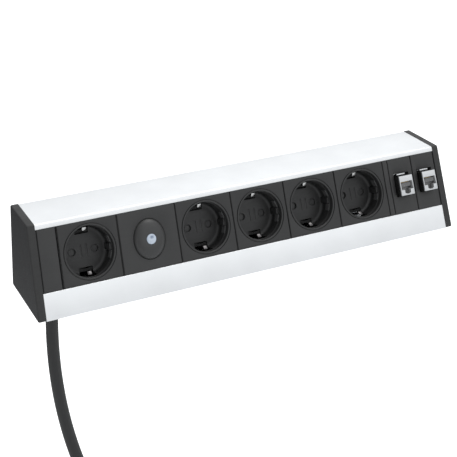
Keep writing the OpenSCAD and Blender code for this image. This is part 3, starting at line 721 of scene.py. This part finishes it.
def socket(i):
    x = SOCKETS[i]
    w = (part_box("socket_%d_cover" % (i + 1))[1].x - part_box("socket_%d_cover" % (i + 1))[0].x) / MM
    n = 128
    ph = math.pi / 4
    R = ring

    def c(r, z):
        return ring(r, z, n, phase=ph)
    outer = plate_loops(w, n, c(22.02, FRONT))
    # fine groove, then the rim's two rolled edges
    prof = [(21.9, FRONT - 0.03), (21.82, FRONT - 0.16), (21.76, FRONT - 0.8), (21.26, FRONT - 0.82), (21.18, FRONT - 0.6), (21.18, RIM_TOP - 0.3)]
    for k in range(1, 5):
        a = math.pi / 2 * k / 4
        prof.append((21.2 - 0.3 * (1 - math.cos(a)), RIM_TOP - 0.3 + 0.3 * math.sin(a)))
    for k in range(0, 7):
        a = math.pi / 2 * k / 6
        prof.append((20.35 - 0.6 * math.sin(a), RIM_TOP - 0.6 + 0.6 * math.cos(a)))
    prof += [(19.75, RIB_TOP + 0.2), (19.72, RIB_TOP + 0.05), (19.52, RIB_TOP - 0.05), (19.5, RIB_TOP - 0.2), (19.5, FLOOR + 3.0)]
    for k in range(1, 8):
        a = math.pi / 2 * k / 7
        prof.append((19.5 - 3.0 * (1 - math.cos(a)), FLOOR + 3.0 - 3.0 * math.sin(a)))
    prof += [(15.6, FLOOR), (0, FLOOR)]
    loops = outer[::-1] + [[(0, 0, z)] if r <= 0 else c(r, z) for r, z in prof]
    # back of the plate, round the cup
    back = [(0, FLOOR_BACK), (20.9, FLOOR_BACK), (21.5, FLOOR_BACK + 0.6), (21.5, BACK)]
    bl = [[(0, 0, z)] if r <= 0 else c(r, z) for r, z in back]
    bm = bmesh.new()
    rows = [[bm.verts.new(p) for p in l] for l in loops]
    brow = [[bm.verts.new(p) for p in l] for l in bl]

    def skin(r0, r1):
        m = max(len(r0), len(r1))
        for a in range(m):
            b = (a + 1) % m
            if len(r0) == 1:
                bm.faces.new((r0[0], r1[b], r1[a]))
            elif len(r1) == 1:
                bm.faces.new((r0[a], r0[b], r1[0]))
            else:
                bm.faces.new((r0[a], r0[b], r1[b], r1[a]))
    for a, b in zip(rows, rows[1:]):
        skin(a, b)
    for a, b in zip(brow, brow[1:]):
        skin(a, b)
    skin(brow[-1], rows[0])
    bmesh.ops.recalc_face_normals(bm, faces=bm.faces)
    # pin holes with a lead-in, and the recesses of the earth tongues
    cuts = []
    for m in (-1, 1):
        cuts.append(lathe([(0, FLOOR_BACK - 1), (2.7, FLOOR_BACK - 1), (2.7, FLOOR + 2), (0, FLOOR + 2)], 48, m * 9.5))
        cuts.append(block(m * 2.4 - 0.95, m * 2.4 + 0.95, -5.1, 5.1, FLOOR - 0.5, FLOOR + 1, 0.2, 2))
        cy = m * (19.75 - 3)
        cuts.append(block(-5.8, 5.8, cy - 3.85, cy + 3.85, FLOOR_BACK - 1, RIB_TOP - 0.05, 0.7, 3))
    adds = []
    for m in (-1, 1):
        adds.append(torus_like([(2.72, FLOOR - 0.4), (3.5, FLOOR - 0.4), (3.5, FLOOR + 0.12), (3.44, FLOOR + 0.25), (3.3, FLOOR + 0.3), (3.08, FLOOR + 0.3), (2.85, FLOOR + 0.2), (2.72, FLOOR + 0.02)], 64, m * 9.5))
        adds.append(block(m * 18.75 - 1.25, m * 18.75 + 1.25, -2.6, 2.6, FLOOR - 0.5, RIB_TOP - 0.1, 0.45, 3))
        b = lathe([(0, FLOOR_BACK - 6), (3, FLOOR_BACK - 6), (3, FLOOR_BACK + 0.5), (0, FLOOR_BACK + 0.5)], 32, m * 17.3)
        b2 = lathe([(0, FLOOR_BACK - 7), (1.25, FLOOR_BACK - 7), (1.25, FLOOR_BACK - 0.2), (0, FLOOR_BACK - 0.2)], 24, m * 17.3)
        adds.append(boolean(b, [b2]))
    adds.append(block(-w / 2, w / 2, -PANEL / 2 - 1.75, -PANEL / 2 + 0.6, BACK, BACK + 1.85, 0.15, 2))
    adds.append(block(-w / 2, w / 2, PANEL / 2 - 0.6, PANEL / 2 + 1.75, BACK, BACK + 1.85, 0.15, 2))
    bm = boolean(bm, cuts)
    bm = boolean(bm, adds, "UNION")
    piece("socket_%d_front" % (i + 1), bm, "socket_plastic", nodes=["socket_%d_cover" % (i + 1)], matrix=on_panel(x, MID), angle=38)
    # smooth wear pads on the wall, above and below each guide rib
    pads = []
    for side in (0, math.pi):
        for sg in (-1, 1):
            b = bmesh.new()
            rows = []
            seg = 6
            a0, a1 = math.asin(3.0 / 19.5), math.asin(8.6 / 19.5)
            for z, rr in ((-12.2, 19.6), (-12.0, 19.2), (-5.7, 19.05), (-5.5, 19.3), (-5.5, 19.6)):
                row = []
                for q in range(seg + 1):
                    an = side + sg * (a0 + (a1 - a0) * q / seg)
                    row.append(b.verts.new((rr * math.cos(an), rr * math.sin(an), z)))
                rows.append(row)
            rows.append(rows[0])
            for r0, r1 in zip(rows, rows[1:]):
                for q in range(seg):
                    b.faces.new((r0[q], r0[q + 1], r1[q + 1], r1[q]))
            for q in (0, seg):
                b.faces.new([r[q] for r in rows[:-1]])
            bmesh.ops.recalc_face_normals(b, faces=b.faces)
            pads.append(b)
    piece("socket_%d_wear_pads" % (i + 1), merge(*pads), "socket_plastic", nodes=["socket_%d_cover" % (i + 1)], matrix=on_panel(x, MID), angle=30, mats=[MATS["pad_plastic"]])


def tongue(i):
    """Spring earth clip bent from strip: two sprung tongues joined behind the carrier."""
    car = FLOOR_BACK - 15.7
    b = car - 0.05
    bms = []
    for m in (0, 180):
        prof = [(0, b - 0.8), (18.2, b - 0.8), (18.2, -14.8), (16.15, -11.2), (16.25, -10.2), (18.6, -8.6), (18.2, -8.0), (15.45, -9.8), (15.35, -11.4), (17.4, -15.0), (17.4, b), (0, b)]
        rs = [0, 0.6, 0.8, 0.4, 0.4, 0.15, 0.3, 0.7, 0.6, 0.6, 0.3, 0]
        poly = rounded(prof, rs, 4)
        bm = bmesh.new()
        rows = []
        for xx, ins in ((-1.6, 0.0), (1.6, 0.0)):
            rows.append([bm.verts.new((xx, p[0], p[1])) for p in poly])
        k = len(poly)
        for a in range(k):
            bm.faces.new((rows[0][a], rows[0][(a + 1) % k], rows[1][(a + 1) % k], rows[1][a]))
        bm.faces.new(rows[0][::-1])
        bm.faces.new(rows[1])
        bmesh.ops.rotate(bm, cent=(0, 0, 0), matrix=Matrix.Rotation(math.radians(m), 3, "Z"), verts=bm.verts)
        bmesh.ops.recalc_face_normals(bm, faces=bm.faces)
        bms.append(bm)
    bm = boolean(bms[0], [bms[1]], "UNION")
    ob = piece("socket_%d_earth_tongues" % (i + 1), bm, "nickel_strip", nodes=["socket_%d_earth_clip" % (i + 1)], matrix=on_panel(SOCKETS[i], MID), angle=35, bevel=0.12, seg=2, bevel_angle=50, mats=[MATS["nickel_strip"], MATS["nickel_painted_shade"]])
    # faces below the module's centre take the darker nickel: painted shade on the lower tongue
    mid = on_panel(SOCKETS[i], MID).to_translation().z
    for face in ob.data.polygons:
        if face.center.z < mid - 0.006:
            face.material_index = 1
    return ob


def button_module():
    n = 128
    ph = math.pi / 4
    da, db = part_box("button_dome")
    a0 = (db.x - da.x) / 2 / MM - 2.0 + 0.45
    b0 = a0 + 2.5
    w = (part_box("button_cover")[1].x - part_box("button_cover")[0].x) / MM

    def ov(d, z, aa=a0, bb=b0):
        return [((aa + d) * math.cos(ph + 2 * math.pi * k / n), (bb + d) * math.sin(ph + 2 * math.pi * k / n), z) for k in range(n)]
    outer = plate_loops(w, n, ov(0.05, FRONT))
    inner = [ov(-0.12, FRONT - 0.06), ov(-0.25, FRONT - 0.22), ov(-0.25, BACK)]
    loops = outer[::-1] + inner
    bm = bmesh.new()
    rows = [[bm.verts.new(p) for p in l] for l in loops]
    for r0, r1 in zip(rows, rows[1:] + rows[:1]):
        for k in range(n):
            bm.faces.new((r0[k], r0[(k + 1) % n], r1[(k + 1) % n], r1[k]))
    bmesh.ops.recalc_face_normals(bm, faces=bm.faces)
    fl = [block(-w / 2, w / 2, -PANEL / 2 - 1.75, -PANEL / 2 + 0.6, BACK, BACK + 1.85, 0.15, 2),
          block(-w / 2, w / 2, PANEL / 2 - 0.6, PANEL / 2 + 1.75, BACK, BACK + 1.85, 0.15, 2)]
    bm = boolean(bm, fl, "UNION")
    piece("button_plate", bm, "plate_plastic", nodes=["button_cover"], matrix=on_panel(BUTTON_X, MID), angle=38)

    # oval dome: steep soft shoulder, nearly flat top, bored for the button
    aa = a0 - 0.45
    bb = b0 - 0.45
    hole = 4.08
    top = 4.0

    def oval(ra, rb, z):
        return [(ra * math.cos(ph + 2 * math.pi * j / n), rb * math.sin(ph + 2 * math.pi * j / n), z) for j in range(n)]
    loops = [oval(aa + 2, bb + 2, -6.5), oval(aa + 2, bb + 2, BACK - 0.1), oval(aa, bb, BACK - 0.1), oval(aa, bb, FRONT - 0.3)]
    steps = 26
    inner = 4.5
    for k in range(1, steps + 1):
        q = math.cos(math.pi / 2 * k / (steps + 0.5)) ** 0.8
        q = 1.0 - (1.0 - q) * 1.0
        zz = FRONT - 0.3 + (top - FRONT + 0.3) * (1 - q ** 2.6) ** 0.60
        ra, rb = inner + (aa - inner) * q, inner + (bb - inner) * q
        if k == steps:
            break
        loops.append(oval(ra, rb, zz))
    for r, z in ((inner, zz + 0.02), (hole + 0.18, zz), (hole + 0.04, zz - 0.1), (hole, zz - 0.3), (hole, -6.5)):
        loops.append(ring(r, z, n, phase=ph))
    bm = bmesh.new()
    rows = [[bm.verts.new(p) for p in l] for l in loops]
    for r0, r1 in zip(rows, rows[1:] + rows[:1]):
        for k in range(n):
            bm.faces.new((r0[k], r0[(k + 1) % n], r1[(k + 1) % n], r1[k]))
    bmesh.ops.recalc_face_normals(bm, faces=bm.faces)
    piece("button_oval_dome", bm, "dome_plastic", nodes=["button_dome"], matrix=on_panel(BUTTON_X, MID), angle=38)

    # push button: frosted lens cap, flange and stem in one moulding
    r = 4.0
    top = 5.0
    R = 12.0
    edge_z = top - (R - math.sqrt(R * R - r * r))
    prof = [(0, -19), (2.0, -19), (2.4, -18.6), (2.4, -7.9), (6, -7.9), (6, -6.6), (r, -6.6), (r, edge_z - 0.35)]
    for k in range(1, 5):
        t = k / 4
        prof.append((r - 0.35 * (1 - math.cos(t * math.pi / 2)), edge_z - 0.35 + 0.33 * math.sin(t * math.pi / 2) + 0.0))
    for k in range(1, 13):
        rr = (r - 0.35) * (1 - k / 12)
        prof.append((rr, top - (R - math.sqrt(R * R - rr * rr)) - 0.0))
    bm = lathe(prof, 96)
    piece("push_button_lens", bm, "button_lens", "button", nodes=["push_button"], matrix=on_panel(BUTTON_X, MID), angle=38)


def data_module(i):
    x = DATA[i]
    w = (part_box("data_cover_%d" % (i + 1))[1].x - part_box("data_cover_%d" % (i + 1))[0].x) / MM
    n = 64
    # plate with a rectangular window: the window's loop takes the same number of points as the outline
    jw = (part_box("data_jack_%d" % (i + 1))[1].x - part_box("data_jack_%d" % (i + 1))[0].x) / MM - 4.8
    wx0, wx1, wy0, wy1 = -jw / 2 - 0.9, jw / 2 + 0.9, -JACK_H / 2 - 0.7, JACK_H / 2 + 2.25

    def win(z, d=0.0):
        q = n // 4
        c = [(wx1 + d, wy1 + d), (wx0 - d, wy1 + d), (wx0 - d, wy0 - d), (wx1 + d, wy0 - d)]
        out = []
        for k in range(4):
            a, b = c[k], c[(k + 1) % 4]
            for j in range(q):
                t = j / q
                out.append((a[0] + (b[0] - a[0]) * t, a[1] + (b[1] - a[1]) * t, z))
        return out
    outer = plate_loops(w, n, win(FRONT, 0.3))
    loops = outer[::-1] + [win(FRONT - 0.1, 0.08), win(FRONT - 0.32, 0.0), win(BACK, 0.0)]
    bm = bmesh.new()
    rows = [[bm.verts.new(p) for p in l] for l in loops]
    for r0, r1 in zip(rows, rows[1:] + rows[:1]):
        for k in range(n):
            bm.faces.new((r0[k], r0[(k + 1) % n], r1[(k + 1) % n], r1[k]))
    bmesh.ops.recalc_face_normals(bm, faces=bm.faces)
    fl = [block(-w / 2, w / 2, -PANEL / 2 - 1.75, -PANEL / 2 + 0.6, BACK, BACK + 1.85, 0.15, 2),
          block(-w / 2, w / 2, PANEL / 2 - 0.6, PANEL / 2 + 1.75, BACK, BACK + 1.85, 0.15, 2)]
    bm = boolean(bm, fl, "UNION")
    piece("data_plate_%d" % (i + 1), bm, "plate_plastic", nodes=["data_cover_%d" % (i + 1)], matrix=on_panel(x, MID), angle=38)


def jack(i):
    """Data jack: metal face with the stepped port, black housing, contact block, sprung latch."""
    x = DATA[i]
    a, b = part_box("data_jack_%d" % (i + 1))
    jw = (b.x - a.x) / MM - 4.8
    jh = JACK_H
    front = 6.6
    k = i + 1
    mtx = on_panel(x, MID)

    def port(z0, z1, grow=0.0):
        """Stepped opening as one outline."""
        g = grow
        pts = [(-5.85 - g, 3.35 + g), (-5.85 - g, -3.45 - g), (-3.0 - g, -3.45 - g), (-3.0 - g, -6.65 - g), (-2.0 - g, -6.65 - g), (-2.0 - g, -7.4 - g),
               (2.0 + g, -7.4 - g), (2.0 + g, -6.65 - g), (3.0 + g, -6.65 - g), (3.0 + g, -3.45 - g), (5.85 + g, -3.45 - g), (5.85 + g, 3.35 + g)]
        return prism(rounded(pts, [0.25, 0.25, 0.15, 0.15, 0.1, 0.15, 0.15, 0.1, 0.15, 0.15, 0.25, 0.25], 2), z0, z1)

    def outline(d):
        return rounded([(jw / 2 - d, jh / 2 - d), (-jw / 2 + d, jh / 2 - d), (-jw / 2 + d, -jh / 2 + d), (jw / 2 - d, -jh / 2 + d)], [0.5] * 4, 4)

    def sk(levels):
        return stack([[(p[0], p[1], z) for p in outline(d)] for d, z in levels])
    face = sk([(0.0, front - 1.7), (0.0, front - 0.3), (0.1, front - 0.1), (0.32, front)])
    flare = stack([[(p[0] * s_, p[1] * s_ - 0.0, z) for p in [(-5.85, 3.35), (-5.85, -3.45), (5.85, -3.45), (5.85, 3.35)]] for s_, z in ((1.0, front - 0.5), (1.07, front + 0.1))])
    face = boolean(face, [port(front - 3, front + 2), flare])
    piece("data_jack_%d_face" % k, face, "jack_zinc", matrix=mtx, angle=35, nodes=["data_jack_%d" % k])
    body = sk([(0.15, -22), (0.15, front - 1.72)])
    sh = block(-jw / 2 - 2.4, jw / 2 + 2.4, -jh / 2 - 0.6, jh / 2 + 0.6, -8, BACK - 0.1, 0.25, 2)
    body = boolean(body, [sh], "UNION")
    body = boolean(body, [port(front - 6.2, front, 0.02), block(-4.4, 4.4, jh / 2 - 1.2, jh / 2 + 1.8, -18, -0.4, 0.1, 1)])
    piece("data_jack_%d_housing" % k, body, "jack_zinc", matrix=mtx, angle=35, nodes=["data_jack_%d" % k], mats=[MATS["jack_black"]])
    # inner liner and contact block: a comb behind the face whose slots guide the wires
    liner = boolean(port(front - 6.15, front - 1.75), [port(front - 5.7, front + 1, -0.28)])
    comb = block(-5.5, 5.5, -1.2, 2.3, front - 5.9, front - 2.6, 0.12, 1)
    slots = [block((j - 3.5) * 1.05 - 0.2, (j - 3.5) * 1.05 + 0.2, -2.0, 2.7, front - 3.4, front - 2.0) for j in range(8)]
    comb = boolean(comb, slots)
    liner = boolean(liner, [comb], "UNION")
    piece("data_jack_%d_comb" % k, liner, "jack_zinc", matrix=mtx, angle=35, nodes=["data_jack_%d" % k], mats=[MATS["comb_plastic"]])
    wires = []
    for j in range(8):
        cx = (j - 3.5) * 1.05
        path = [(2.9, -6.6), (2.9, front - 4.4), (2.7, front - 3.9), (2.2, front - 3.9), (-0.9, front - 5.2), (-1.1, front - 5.4)]
        prof = []
        bm = bmesh.new()
        rows = []
        m = len(path)
        for q in range(m):
            p = Vector(path[q])
            t = (Vector(path[min(q + 1, m - 1)]) - Vector(path[max(q - 1, 0)])).normalized()
            nn = Vector((-t.y, t.x)) * 0.15
            rows.append([bm.verts.new((cx + dx, (p + nn * sg).x, (p + nn * sg).y)) for dx, sg in ((-0.2, 1), (0.2, 1), (0.2, -1), (-0.2, -1))])
        for r0, r1 in zip(rows, rows[1:]):
            for e in range(4):
                bm.faces.new((r0[e], r0[(e + 1) % 4], r1[(e + 1) % 4], r1[e]))
        bm.faces.new(rows[0][::-1])
        bm.faces.new(rows[-1])
        bmesh.ops.recalc_face_normals(bm, faces=bm.faces)
        wires.append(bm)
    piece("data_jack_%d_wires" % k, merge(*wires), "gold_contacts", matrix=mtx, angle=50, nodes=["jack_contacts_%d" % k])
    # latch: spring leaf with a rolled thumb tab
    y = jh / 2
    leaf = [(y - 1.1, -17.8), (y + 0.5, -17.8), (y + 0.9, -5), (y + 2, -3.2), (y + 2, -0.6), (y + 0.5, -0.6), (y - 0.4, -5), (y - 1.1, -15)]
    poly = rounded(leaf, [0.2, 0.2, 0.8, 0.6, 0.5, 0.3, 0.8, 0.3], 4)
    bm = bmesh.new()
    rows = [[bm.verts.new((xx, p[0], p[1])) for p in poly] for xx in (-4.25, 4.25)]
    m = len(poly)
    for q in range(m):
        bm.faces.new((rows[0][q], rows[0][(q + 1) % m], rows[1][(q + 1) % m], rows[1][q]))
    bm.faces.new(rows[0][::-1])
    bm.faces.new(rows[1])
    bmesh.ops.recalc_face_normals(bm, faces=bm.faces)
    piece("data_jack_%d_latch" % k, bm, "latch_steel", matrix=mtx, angle=35, nodes=["jack_latch_%d" % k], bevel=0.12, seg=2, bevel_angle=60)


def supply_cable():
    """Round sheath along the cable's path: straight out, a bend downwards, a long slack curve."""
    a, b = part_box("cable_bushing")
    cx, cz = (a.x + b.x) / 2 / MM, (a.z + b.z) / 2 / MM
    bend, cy, hz, hr, ha = 28.0, 82.25, -72.8, 440.0, math.radians(18.6)
    path = [Vector((cx, 18.5, cz)), Vector((cx, 35.0, cz)), Vector((cx, cy - bend, cz))]
    for k in range(1, 25):
        t = math.pi / 2 * k / 24
        path.append(Vector((cx, cy - bend + bend * math.sin(t), cz - bend * (1 - math.cos(t)))))
    path.append(Vector((cx, cy, -40.0)))
    path.append(Vector((cx, cy, hz)))
    for k in range(1, 25):
        t = ha * k / 24
        path.append(Vector((cx + hr * (1 - math.cos(t)), cy, hz - hr * math.sin(t))))
    path.append(path[-1] + 7.9 * Vector((math.sin(ha), 0, -math.cos(ha))))
    rows = []
    for k, p in enumerate(path):
        t = (path[min(k + 1, len(path) - 1)] - path[max(k - 1, 0)]).normalized()
        u = Vector((1, 0, 0))
        u = (u - t * u.dot(t)).normalized()
        v = t.cross(u)
        rows.append([tuple(p + 5.49 * (u * math.cos(2 * math.pi * j / 40) + v * math.sin(2 * math.pi * j / 40))) for j in range(40)])
    piece("supply_cable_sheath", stack(rows), "cable_rubber", nodes=["supply_cable"], angle=50)


def return_spring():
    """Coil under the button's flange."""
    path = []
    for k in range(145):
        t = k / 144
        a = 2 * math.pi * 4 * t
        path.append(Vector((4.3 * math.cos(a), 4.3 * math.sin(a), -14.39 + 5.88 * t)))
    rows = []
    for k, p in enumerate(path):
        t = (path[min(k + 1, 144)] - path[max(k - 1, 0)]).normalized()
        u = Vector((p.x, p.y, 0)).normalized()
        v = t.cross(u).normalized()
        rows.append([tuple(p + 0.39 * (u * math.cos(2 * math.pi * j / 10) + v * math.sin(2 * math.pi * j / 10))) for j in range(10)])
    at = on_panel(BUTTON_X, MID)
    ob = piece("button_return_spring", stack(rows), "spring_steel", nodes=["button_spring"], matrix=at, angle=60)
    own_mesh(ob)


JACK_H = 16.9
LIP = max(0.0, (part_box("socket_2_cover")[0].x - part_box("button_cover")[1].x) / MM / 2 - 0.01)
return_spring()
supply_cable()
housing()
end_cap(-1)
end_cap(1)
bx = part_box("blank_strip")
blank_plate("blank_filler_strip", (bx[0].x + bx[1].x) / 2 / MM, (bx[1].x - bx[0].x) / MM, ["blank_strip"])
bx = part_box("spacer_strip")
blank_plate("spacer_filler_strip", (bx[0].x + bx[1].x) / 2 / MM, (bx[1].x - bx[0].x) / MM, ["spacer_strip"])
for i in range(5):
    socket(i)
    tongue(i)
button_module()
for i in range(2):
    data_module(i)
    jack(i)

# ------------------------------------------------------------------ floor, light, camera
lo, hi = cad_box
lo = Vector([min(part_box(n)[0][k] for n in NODES) for k in range(3)])
hi = Vector([max(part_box(n)[1][k] for n in NODES) for k in range(3)])
floor_z = lo.z - 0.0005
bm = bmesh.new()
bmesh.ops.create_grid(bm, x_segments=2, y_segments=2, size=30)
floor = tmp_obj(bm, "floor")
floor.location = (0, 0, floor_z)
n = Net("pale_floor")
n.set(Roughness=0.85, Specular_IOR_Level=0.1)
c = n.mix(n.ramp(n.noise(3, 3), 0, 1, 0.3, 0.7), (0.93, 0.93, 0.93), (0.96, 0.96, 0.96))
lp = n.t.nodes.new("ShaderNodeLightPath")
# seen in reflections only, the floor falls off behind the object on the left, as a studio's edge would
geo = n.t.nodes.new("ShaderNodeNewGeometry")
pos = n.t.nodes.new("ShaderNodeSeparateXYZ")
n.link(geo.outputs["Position"], pos.inputs[0])
lit = n.math("MAXIMUM", n.ramp(pos.outputs[1], 1.0, 0.0, 0.25, 0.6), n.ramp(pos.outputs[0], 0.0, 1.0, -0.45, 0.1))
n.color(n.mix(lp.outputs["Is Camera Ray"], n.mix(lit, (0.10, 0.10, 0.11), (0.62, 0.635, 0.65)), c))
n.link(c, n.bsdf.inputs["Emission Color"])
n.link(n.math("ADD", n.math("MULTIPLY", lp.outputs["Is Camera Ray"], 0.30), n.math("MAXIMUM", n.math("MULTIPLY", lit, 0.32), n.math("MULTIPLY", lp.outputs["Is Camera Ray"], 0.32))), n.bsdf.inputs["Emission Strength"])
floor.data.materials.append(n.mat)

world = bpy.data.worlds.new("studio")
scene.world = world
world.use_nodes = True


def studio(t):
    """Soft white room: brighter overhead, a wide glow behind the object, darker to the left."""
    t.nodes.clear()
    wo = t.nodes.new("ShaderNodeOutputWorld")
    tc = t.nodes.new("ShaderNodeTexCoord")
    sp = t.nodes.new("ShaderNodeSeparateXYZ")
    t.links.new(tc.outputs["Generated"], sp.inputs[0])

    def rng(src, a, b, lo, hi, smooth=True):
        n = t.nodes.new("ShaderNodeMapRange")
        if smooth:
            n.interpolation_type = "SMOOTHSTEP"
        for k, v in (("From Min", lo), ("From Max", hi), ("To Min", a), ("To Max", b)):
            n.inputs[k].default_value = v
        t.links.new(src, n.inputs["Value"])
        return n.outputs[0]

    def add(a, b, op="ADD"):
        n = t.nodes.new("ShaderNodeMath")
        n.operation = op
        t.links.new(a, n.inputs[0])
        t.links.new(b, n.inputs[1])
        return n.outputs[0]

    def glow(direction, amount, lo, hi):
        d = t.nodes.new("ShaderNodeVectorMath")
        d.operation = "DOT_PRODUCT"
        t.links.new(tc.outputs["Generated"], d.inputs[0])
        d.inputs[1].default_value = Vector(direction).normalized()
        return rng(d.outputs["Value"], 0.0, amount, lo, hi)
    base = rng(sp.outputs[2], 0.55, 0.95, -0.1, 0.9)
    side = rng(sp.outputs[0], 0.55, 1.0, -0.9, 0.1)
    s = add(base, side, "MULTIPLY")
    s = add(s, glow((0.41, 0.84, 0.38), 0.36, 0.93, 1.0))
    s = add(s, glow((0.42, -0.78, 0.46), 0.42, 0.80, 1.0))
    b1 = t.nodes.new("ShaderNodeBackground")
    t.links.new(s, b1.inputs["Strength"])
    b1.inputs["Color"].default_value = (0.97, 0.985, 1.0, 1)
    b2 = t.nodes.new("ShaderNodeBackground")
    b2.inputs["Color"].default_value = (1, 1, 1, 1)
    b2.inputs["Strength"].default_value = 1.0
    lp = t.nodes.new("ShaderNodeLightPath")
    mx = t.nodes.new("ShaderNodeMixShader")
    t.links.new(lp.outputs["Is Camera Ray"], mx.inputs[0])
    t.links.new(b1.outputs[0], mx.inputs[1])
    t.links.new(b2.outputs[0], mx.inputs[2])
    t.links.new(mx.outputs[0], wo.inputs[0])


studio(world.node_tree)


def area(name, loc, target, size, power, col=(1, 1, 1), size_y=None):
    l = bpy.data.lights.new(name, "AREA")
    l.energy = power
    l.color = col
    l.shape = "RECTANGLE"
    l.size = size
    l.size_y = size_y or size
    o = bpy.data.objects.new(name, l)
    scene.collection.objects.link(o)
    o.location = loc
    o.rotation_euler = (Vector(target) - Vector(loc)).to_track_quat("-Z", "Y").to_euler()
    return o


area("top_softbox", (0.38, 0.12, 1.20), (0.0, 0, 0.03), 0.9, 4.6, (1, 0.99, 0.98), 0.7)
# narrow light at the left, low: it draws the thin bright lines on the modules' side edges
area("edge_strip", (-1.18, -0.47, 0.08), (0, 0, 0.04), 0.10, 0.3, (1, 1, 1), 0.5)

scene.view_settings.view_transform = "Standard"
scene.view_settings.look = "None"

cam_data = bpy.data.cameras.new("camera")
cam = bpy.data.objects.new("camera", cam_data)
scene.collection.objects.link(cam)
scene.camera = cam
right = Vector((0.89629, -0.44347, 0.0))
down = Vector((-0.07641, -0.15423, -0.98508))
fwd = Vector((0.43684, 0.88292, -0.17212))
m = Matrix((right, -down, -fwd)).transposed().to_4x4()
cam.matrix_world = Matrix.Translation((-0.43309, -0.84573, 0.46226)) @ m
cam_data.sensor_width = 36
cam_data.lens = 1190.0 / 457 * 36
cam_data.clip_start, cam_data.clip_end = 0.01, 100
# the picture is the lower part of a level view, so the lens is shifted; only from this one place
d = cam_data.driver_add("shift_y").driver
v = d.variables.new()
v.name = "px"
v.type = "SINGLE_PROP"
v.targets[0].id_type = "OBJECT"
v.targets[0].id = cam
v.targets[0].data_path = "location.x"
d.type = "SCRIPTED"
d.expression = "-0.6924 if abs(px + 0.43309) < 0.00001 else 0.0"
